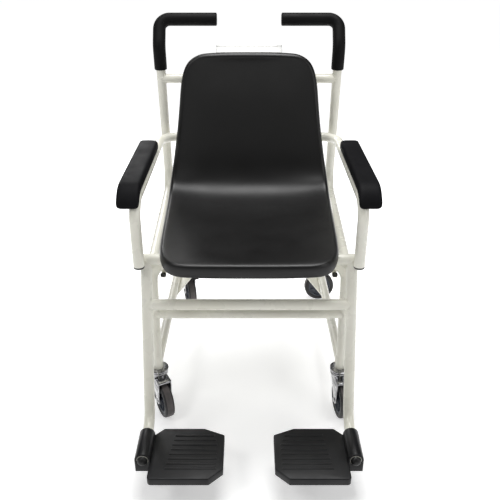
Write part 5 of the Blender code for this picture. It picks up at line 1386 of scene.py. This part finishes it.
    def wheel(self) -> None:
        """Tyre, and hub with its spokes."""
        body = "caster_wheel_" + self.label
        half, outer = self.wheel_half, self.wheel_radius
        seat = outer - 12.5 * MM
        tyre = (
            (seat, -half + 2 * MM), (seat + 2.5 * MM, -half + 0.3 * MM), (outer - 5 * MM, -half),
            (outer - 2.6 * MM, -half + 0.9 * MM), (outer - 1.0 * MM, -half + 2.6 * MM),
            (outer - 0.3 * MM, -half + 4.6 * MM),
            (outer - 0.1 * MM, 0), (outer - 0.3 * MM, half - 4.6 * MM), (outer - 1.0 * MM, half - 2.6 * MM),
            (outer - 2.6 * MM, half - 0.9 * MM), (outer - 5 * MM, half), (seat + 2.5 * MM, half - 0.3 * MM),
            (seat, half - 2 * MM),
        )
        settle(lathe("tyre_" + self.label, tyre, self.axle, 72), TYRE, body, ["caster_tyre_" + self.label],
               radians(50))
        edge = half - 4.8 * MM
        band = ((outer - 1.5 * MM, -edge), (outer - 0.25 * MM, -edge), (outer, 0),
                (outer - 0.25 * MM, edge),
                (outer - 1.5 * MM, edge))
        settle(lathe("tyre_tread_" + self.label, band, self.axle, 72), WORN, body)
        rim = seat - 0.2 * MM
        hub = (
            (4.3 * MM, -half), (9.6 * MM, -half), (11 * MM, -half + 1.2 * MM), (11.6 * MM, -6.6 * MM),
            (14 * MM, -5.4 * MM), (rim - 8 * MM, -5.4 * MM),
            (rim - 5.4 * MM, -6.8 * MM), (rim - 4.6 * MM, -10.6 * MM), (rim - 1 * MM, -11 * MM),
            (rim, -10.4 * MM), (rim, 10.4 * MM), (rim - 1 * MM, 11 * MM),
            (rim - 4.6 * MM, 10.6 * MM), (rim - 5.4 * MM, 6.8 * MM), (rim - 8 * MM, 5.4 * MM),
            (14 * MM, 5.4 * MM), (11.6 * MM, 6.6 * MM),
            (11 * MM, half - 1.2 * MM), (9.6 * MM, half), (4.3 * MM, half),
        )
        parts = [lathe("disc", hub, self.axle, 72)]
        for index in range(8):
            spoke = box("spoke", (10 * MM, -1.3 * MM, -8.8 * MM), (rim - 5.2 * MM, 1.3 * MM, 8.8 * MM),
                        0.7 * MM)
            spoke.data.transform(self.axle @ Matrix.Rotation(2 * pi * (index + 0.5) / 8, 4, "Z"))
            parts.append(spoke)
        settle(joined("hub_" + self.label, parts), HUB, body, ["caster_hub_" + self.label], radians(40))

    @property
    def pin_place(self) -> Point:
        """The pedal's pivot in the caster's own frame."""
        return 0.0, -self.reach * self.pin_share, self.fork_top - self.crown / 2

    def pedal_pin(self) -> bpy.types.Object:
        """Pin that the brake pedal turns on.

        Returns:
            The pin.
        """
        _, y, z = self.pin_place
        reach = self.fork_inner + self.fork_sheet + 3.3 * MM
        path = [self.place @ Vector((-reach, y, z)), self.place @ Vector((reach, y, z))]
        return tube("pin", path, 2.9 * MM, resolution=5)

    def pedal(self) -> None:
        """Brake pedal with a ribbed tread at its end."""
        _, pin_y, pin_z = self.pin_place
        outer = self.fork_inner + self.fork_sheet + 0.4 * MM
        wide = outer + 2.9 * MM
        roof, floor = pin_z + 9 * MM, pin_z - 6.2 * MM
        near_y = -self.reach - 0.4 * MM
        far_y = near_y - 33.6 * MM
        ear_back = pin_y + 5.3 * MM
        cheek = ((ear_back, floor), (ear_back, pin_z + 3 * MM), (near_y, pin_z + 3 * MM),
                 (near_y - 4 * MM, roof - 1 * MM), (near_y - 12 * MM, roof - 1 * MM),
                 (near_y - 9 * MM, roof - 5 * MM), (near_y - 4.6 * MM, floor))
        parts = []
        for _, side in SIDES:
            start = min(side * outer, side * wide)
            place = self.place @ Matrix.Translation((start, 0, 0)) @ Axis.X.value
            parts.append(extruded("ear", cheek, wide - outer, place, 0.7 * MM))
        tread = box("tread", (-wide, far_y, roof - 4 * MM), (wide, near_y - 2.4 * MM, roof - 0.8 * MM),
                    1.2 * MM)
        tread.data.transform(self.place)
        parts.append(tread)
        for index in range(4):
            y = far_y + 4.5 * MM + index * 5 * MM
            ridge = box("ridge", (-wide + 4 * MM, y - 1 * MM, roof - 1.6 * MM),
                        (wide - 4 * MM, y + 1 * MM, roof), 0.4 * MM)
            ridge.data.transform(self.place)
            parts.append(ridge)
        name = "brake_pedal_" + self.label
        settle(joined("pedal_" + self.label, parts), PEDAL, name, [name], radians(35))


@dataclass
class Indicator:
    """Weight indicator behind the seat back: two housings, window, keys and bracket."""

    width: float = 183 * MM
    height: float = 100 * MM
    rear_depth: float = 26 * MM
    cover_depth: float = 8 * MM
    top_y: float = 320 * MM
    top_z: float = 855 * MM
    tilt: float = radians(30)
    window: tuple[float, float] = (104 * MM, 34 * MM)
    window_lift: float = 18 * MM
    key: tuple[float, float] = (24 * MM, 13 * MM)
    key_pitch: float = 38 * MM
    key_drop: float = 24 * MM
    key_proud: float = 2 * MM

    @property
    def place(self) -> Matrix:
        """Frame at the middle of its back.

        Returns:
            The frame, with Z out of the screen and Y up the face.
        """
        out = Vector((0, cos(self.tilt), sin(self.tilt)))
        up = Vector((0, -sin(self.tilt), cos(self.tilt)))
        across = up.cross(out)
        centre = Vector((0, self.top_y, self.top_z)) - up * self.height / 2
        return Matrix.Translation(centre) @ Matrix((across, up, out)).transposed().to_4x4()

    def slab(self, name: str, low: Point, high: Point, rounding: float) -> bpy.types.Object:
        """A block in the indicator's own frame."""
        made = box(name, low, high, rounding)
        made.data.transform(self.place)
        return made

    def build(self) -> None:
        """Build the indicator."""
        w, h = self.width / 2, self.height / 2
        rear = self.slab("rear", (-w, -h, 0), (w, h, self.rear_depth), 3 * MM)
        vents = [
            self.slab("vent", (-w + 24 * MM, -h + 12 * MM + i * 6 * MM, -0.3 * MM),
                      (-w + 56 * MM, -h + 14 * MM + i * 6 * MM, 0.6 * MM), 0.3 * MM)
            for i in range(4)
        ]
        settle(joined("indicator_back_case", [rear, *vents]), CASING, FRAME_BODY,
               ["indicator_rear_housing"])
        low, high = self.rear_depth + 0.3 * MM, self.rear_depth + 0.3 * MM + self.cover_depth
        cover = box("cover", (-w, -h, low), (w, h, high), 2.4 * MM)
        win_w, win_h = self.window[0] / 2, self.window[1] / 2
        cover = cut(cover, box("window_cut", (-win_w, self.window_lift - win_h, high - 3 * MM),
                               (win_w, self.window_lift + win_h, high + 3 * MM), 0.5 * MM))
        for index in range(3):
            x = (index - 1) * self.key_pitch
            half_w, half_h = self.key[0] / 2 + 0.6 * MM, self.key[1] / 2 + 0.6 * MM
            cover = cut(cover, box("key_cut", (x - half_w, -self.key_drop - half_h, low - 1 * MM),
                                   (x + half_w, -self.key_drop + half_h, high + 3 * MM), 0.5 * MM))
        cover.data.transform(self.place)
        settle(cover, CASING, FRAME_BODY, ["indicator_front_housing"], radians(30))
        edge = 0.35 * MM
        pane = self.slab("indicator_screen",
                         (-win_w + edge, self.window_lift - win_h + edge, high - 2.4 * MM),
                         (win_w - edge, self.window_lift + win_h - edge, high - 0.2 * MM), 0.3 * MM)
        settle(pane, SCREEN, FRAME_BODY, ["display_window"])
        self.digits(high - 0.2 * MM)
        for index in range(3):
            x = (index - 1) * self.key_pitch
            top = high + self.key_proud
            cap = self.slab("indicator_key_cap_%d" % (index + 1),
                            (x - self.key[0] / 2, -self.key_drop - self.key[1] / 2, top - 6.5 * MM),
                            (x + self.key[0] / 2, -self.key_drop + self.key[1] / 2, top), 1.2 * MM)
            settle(cap, KEY, "key_%d" % (index + 1), ["indicator_key_%d" % (index + 1)])
        self.bracket()
        repaint("display_board", BOARD)

    def digits(self, level: float) -> None:
        """Unlit segments of a five digit display, just proud of the pane.

        Args:
            level: Height of the pane's face.
        """
        faint = Finish("display_segments", "window", (0.075, 0.085, 0.078), (0.066, 0.075, 0.070),
                       (0.12, 0.18), relief=0.0)
        parts = []
        for digit in range(5):
            left = -38 * MM + digit * 16 * MM
            for x, y, wide, tall in ((0, 11, 9, 1.6), (0, 0, 9, 1.6), (0, -11, 9, 1.6), (-5, 5.5, 1.6, 8.6),
                                     (5, 5.5, 1.6, 8.6),
                                     (-5, -5.5, 1.6, 8.6), (5, -5.5, 1.6, 8.6)):
                centre_x, centre_y = left + (x + 6) * MM, self.window_lift + y * MM
                parts.append(self.slab("segment", (centre_x - wide * MM / 2, centre_y - tall * MM / 2,
                                                   level - 0.2 * MM),
                                       (centre_x + wide * MM / 2, centre_y + tall * MM / 2,
                                        level + 0.08 * MM), 0.05 * MM))
        settle(joined("display_digit_segments", parts), faint, FRAME_BODY)

    def bracket(self) -> None:
        """Wedge bracket from the upper crossbar to the indicator's back."""
        place = self.place
        face = place @ Vector((0, 0, -0.3 * MM))
        up, out = Vector((0, place[1][1], place[2][1])), Vector((0, place[1][2], place[2][2]))
        low, high = face - up * 23 * MM, face + up * 23 * MM
        back = 316 * MM
        outline = (
            (back, 776 * MM), (back + 3 * MM, 776 * MM), (low.y - out.y * 4.8 * MM, low.z - 3 * MM),
            (low.y, low.z), (high.y, high.z),
            (high.y - out.y * 3 * MM, high.z - out.z * 3 * MM), (back + 3 * MM, 785 * MM),
            (back + 3 * MM, 800 * MM), (back, 800 * MM),
        )
        wedge = extruded("indicator_wedge", outline, 60 * MM,
                         Matrix.Translation((-30 * MM, 0, 0)) @ Axis.X.value, 0.8 * MM)
        settle(wedge, PAINT, FRAME_BODY, ["indicator_bracket"])


@dataclass
class Studio:
    """Pale floor, soft light and the photograph's camera."""

    camera_place: Point = (0, -1463 * MM, 1158.7 * MM)
    pitch: float = radians(27.17)
    lens_mm: float = 45.094
    shift: float = 0.0018

    def build(self) -> None:
        """Build the stage."""
        self.camera()
        self.floor()
        self.light("top_light", (0.1, 0.35, 2.9), (0, 0.05, 0.4), 1.5, 64.0)
        self.light("key_light", (-1.5, -1.3, 2.5), (0, 0, 0.5), 0.8, 17.0)
        self.light("fill_light", (1.7, -1.2, 1.5), (0, 0, 0.4), 1.0, 9.0)
        self.light("back_light", (-0.9, 2.3, 1.5), (0, 0, 0.5), 1.0, 12.0)
        world = bpy.data.worlds.new("studio_world")
        bpy.context.scene.world = world
        world.use_nodes = True
        background = world.node_tree.nodes["Background"]
        background.inputs["Color"].default_value = (1.0, 1.0, 1.0, 1.0)
        background.inputs["Strength"].default_value = 0.14
        bpy.context.scene.view_settings.view_transform = "Standard"

    def camera(self) -> None:
        """Camera at the photograph's place and angle."""
        data = bpy.data.cameras.new("photo_camera")
        data.sensor_width = 36
        data.lens = self.lens_mm
        data.shift_x = self.shift
        camera = bpy.data.objects.new("photo_camera", data)
        camera.location = Vector(self.camera_place) + Vector((0, FORWARD, 0))
        camera.rotation_euler = (pi / 2 - self.pitch, 0, 0)
        bpy.context.scene.collection.objects.link(camera)
        bpy.context.scene.camera = camera

    def floor(self) -> None:
        """Wide pale floor."""
        deselect()
        bpy.ops.mesh.primitive_plane_add(size=30, location=(0, 0, -0.2 * MM))
        floor = bpy.context.active_object
        floor.name = "studio_floor"
        paint = bpy.data.materials.new("studio_floor_white")
        paint.use_nodes = True
        shader = paint.node_tree.nodes["Principled BSDF"]
        shader.inputs["Base Color"].default_value = (0.90, 0.90, 0.90, 1)
        shader.inputs["Emission Color"].default_value = (1.0, 1.0, 1.0, 1)
        nodes, links = paint.node_tree.nodes, paint.node_tree.links
        place = nodes.new("ShaderNodeTexCoord")
        distance = nodes.new("ShaderNodeVectorMath")
        distance.operation = "DISTANCE"
        distance.inputs[1].default_value = (0, -1.6, 0)
        links.new(place.outputs["Object"], distance.inputs[0])
        glow = nodes.new("ShaderNodeMapRange")
        for socket, value in (("From Min", 0.2), ("From Max", 3.0), ("To Min", 0.12), ("To Max", 0.88)):
            glow.inputs[socket].default_value = value
        links.new(distance.outputs["Value"], glow.inputs["Value"])
        links.new(glow.outputs["Result"], shader.inputs["Emission Strength"])
        shader.inputs["Roughness"].default_value = 0.9
        shader.inputs["Specular IOR Level"].default_value = 0.1
        floor.data.materials.append(paint)

    def light(self, name: str, place: Point, aim: Point, size: float, power: float) -> None:
        """A soft square light.

        Args:
            name: Its name.
            place: Where it stands.
            aim: Where it points.
            size: Width in metres.
            power: Power in watts.
        """
        data = bpy.data.lights.new(name, "AREA")
        data.shape = "SQUARE"
        data.size = size
        data.energy = power
        lamp = bpy.data.objects.new(name, data)
        lamp.location = place
        lamp.rotation_euler = (Vector(aim) - Vector(place)).to_track_quat("-Z", "Y").to_euler()
        bpy.context.scene.collection.objects.link(lamp)


def main() -> None:
    """Build the chair's pieces in order."""
    logging.basicConfig(level=logging.INFO, format="%(message)s")
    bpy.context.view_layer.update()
    Studio().build()
    welds = WeldBeads()
    Chassis(welds).build()
    SeatFrame(welds).build()
    welds.finish()
    SeatShell().build()
    for label, side in SIDES:
        Armrest(label, side).build()
        Footplate(label, side).build()
    for label, x, y, degrees, stem, braked in (
        ("front_left", -239, -137, 27, 35, False), ("front_right", 239, -137, 8, 35, False),
        ("rear_left", -213.5, 425.5, 18, 4.6, True), ("rear_right", 213.5, 425.5, 95, 4.6, True),
    ):
        Caster(label, x * MM, y * MM, radians(degrees), stem * MM, braked).build()
    Indicator().build()
    repaint("load_cell", CELL)
    repaint("load_cell_base_plate", ZINC)
    repaint("seat_support_frame", PAINT)
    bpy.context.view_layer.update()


if __name__ == "__main__":
    main()
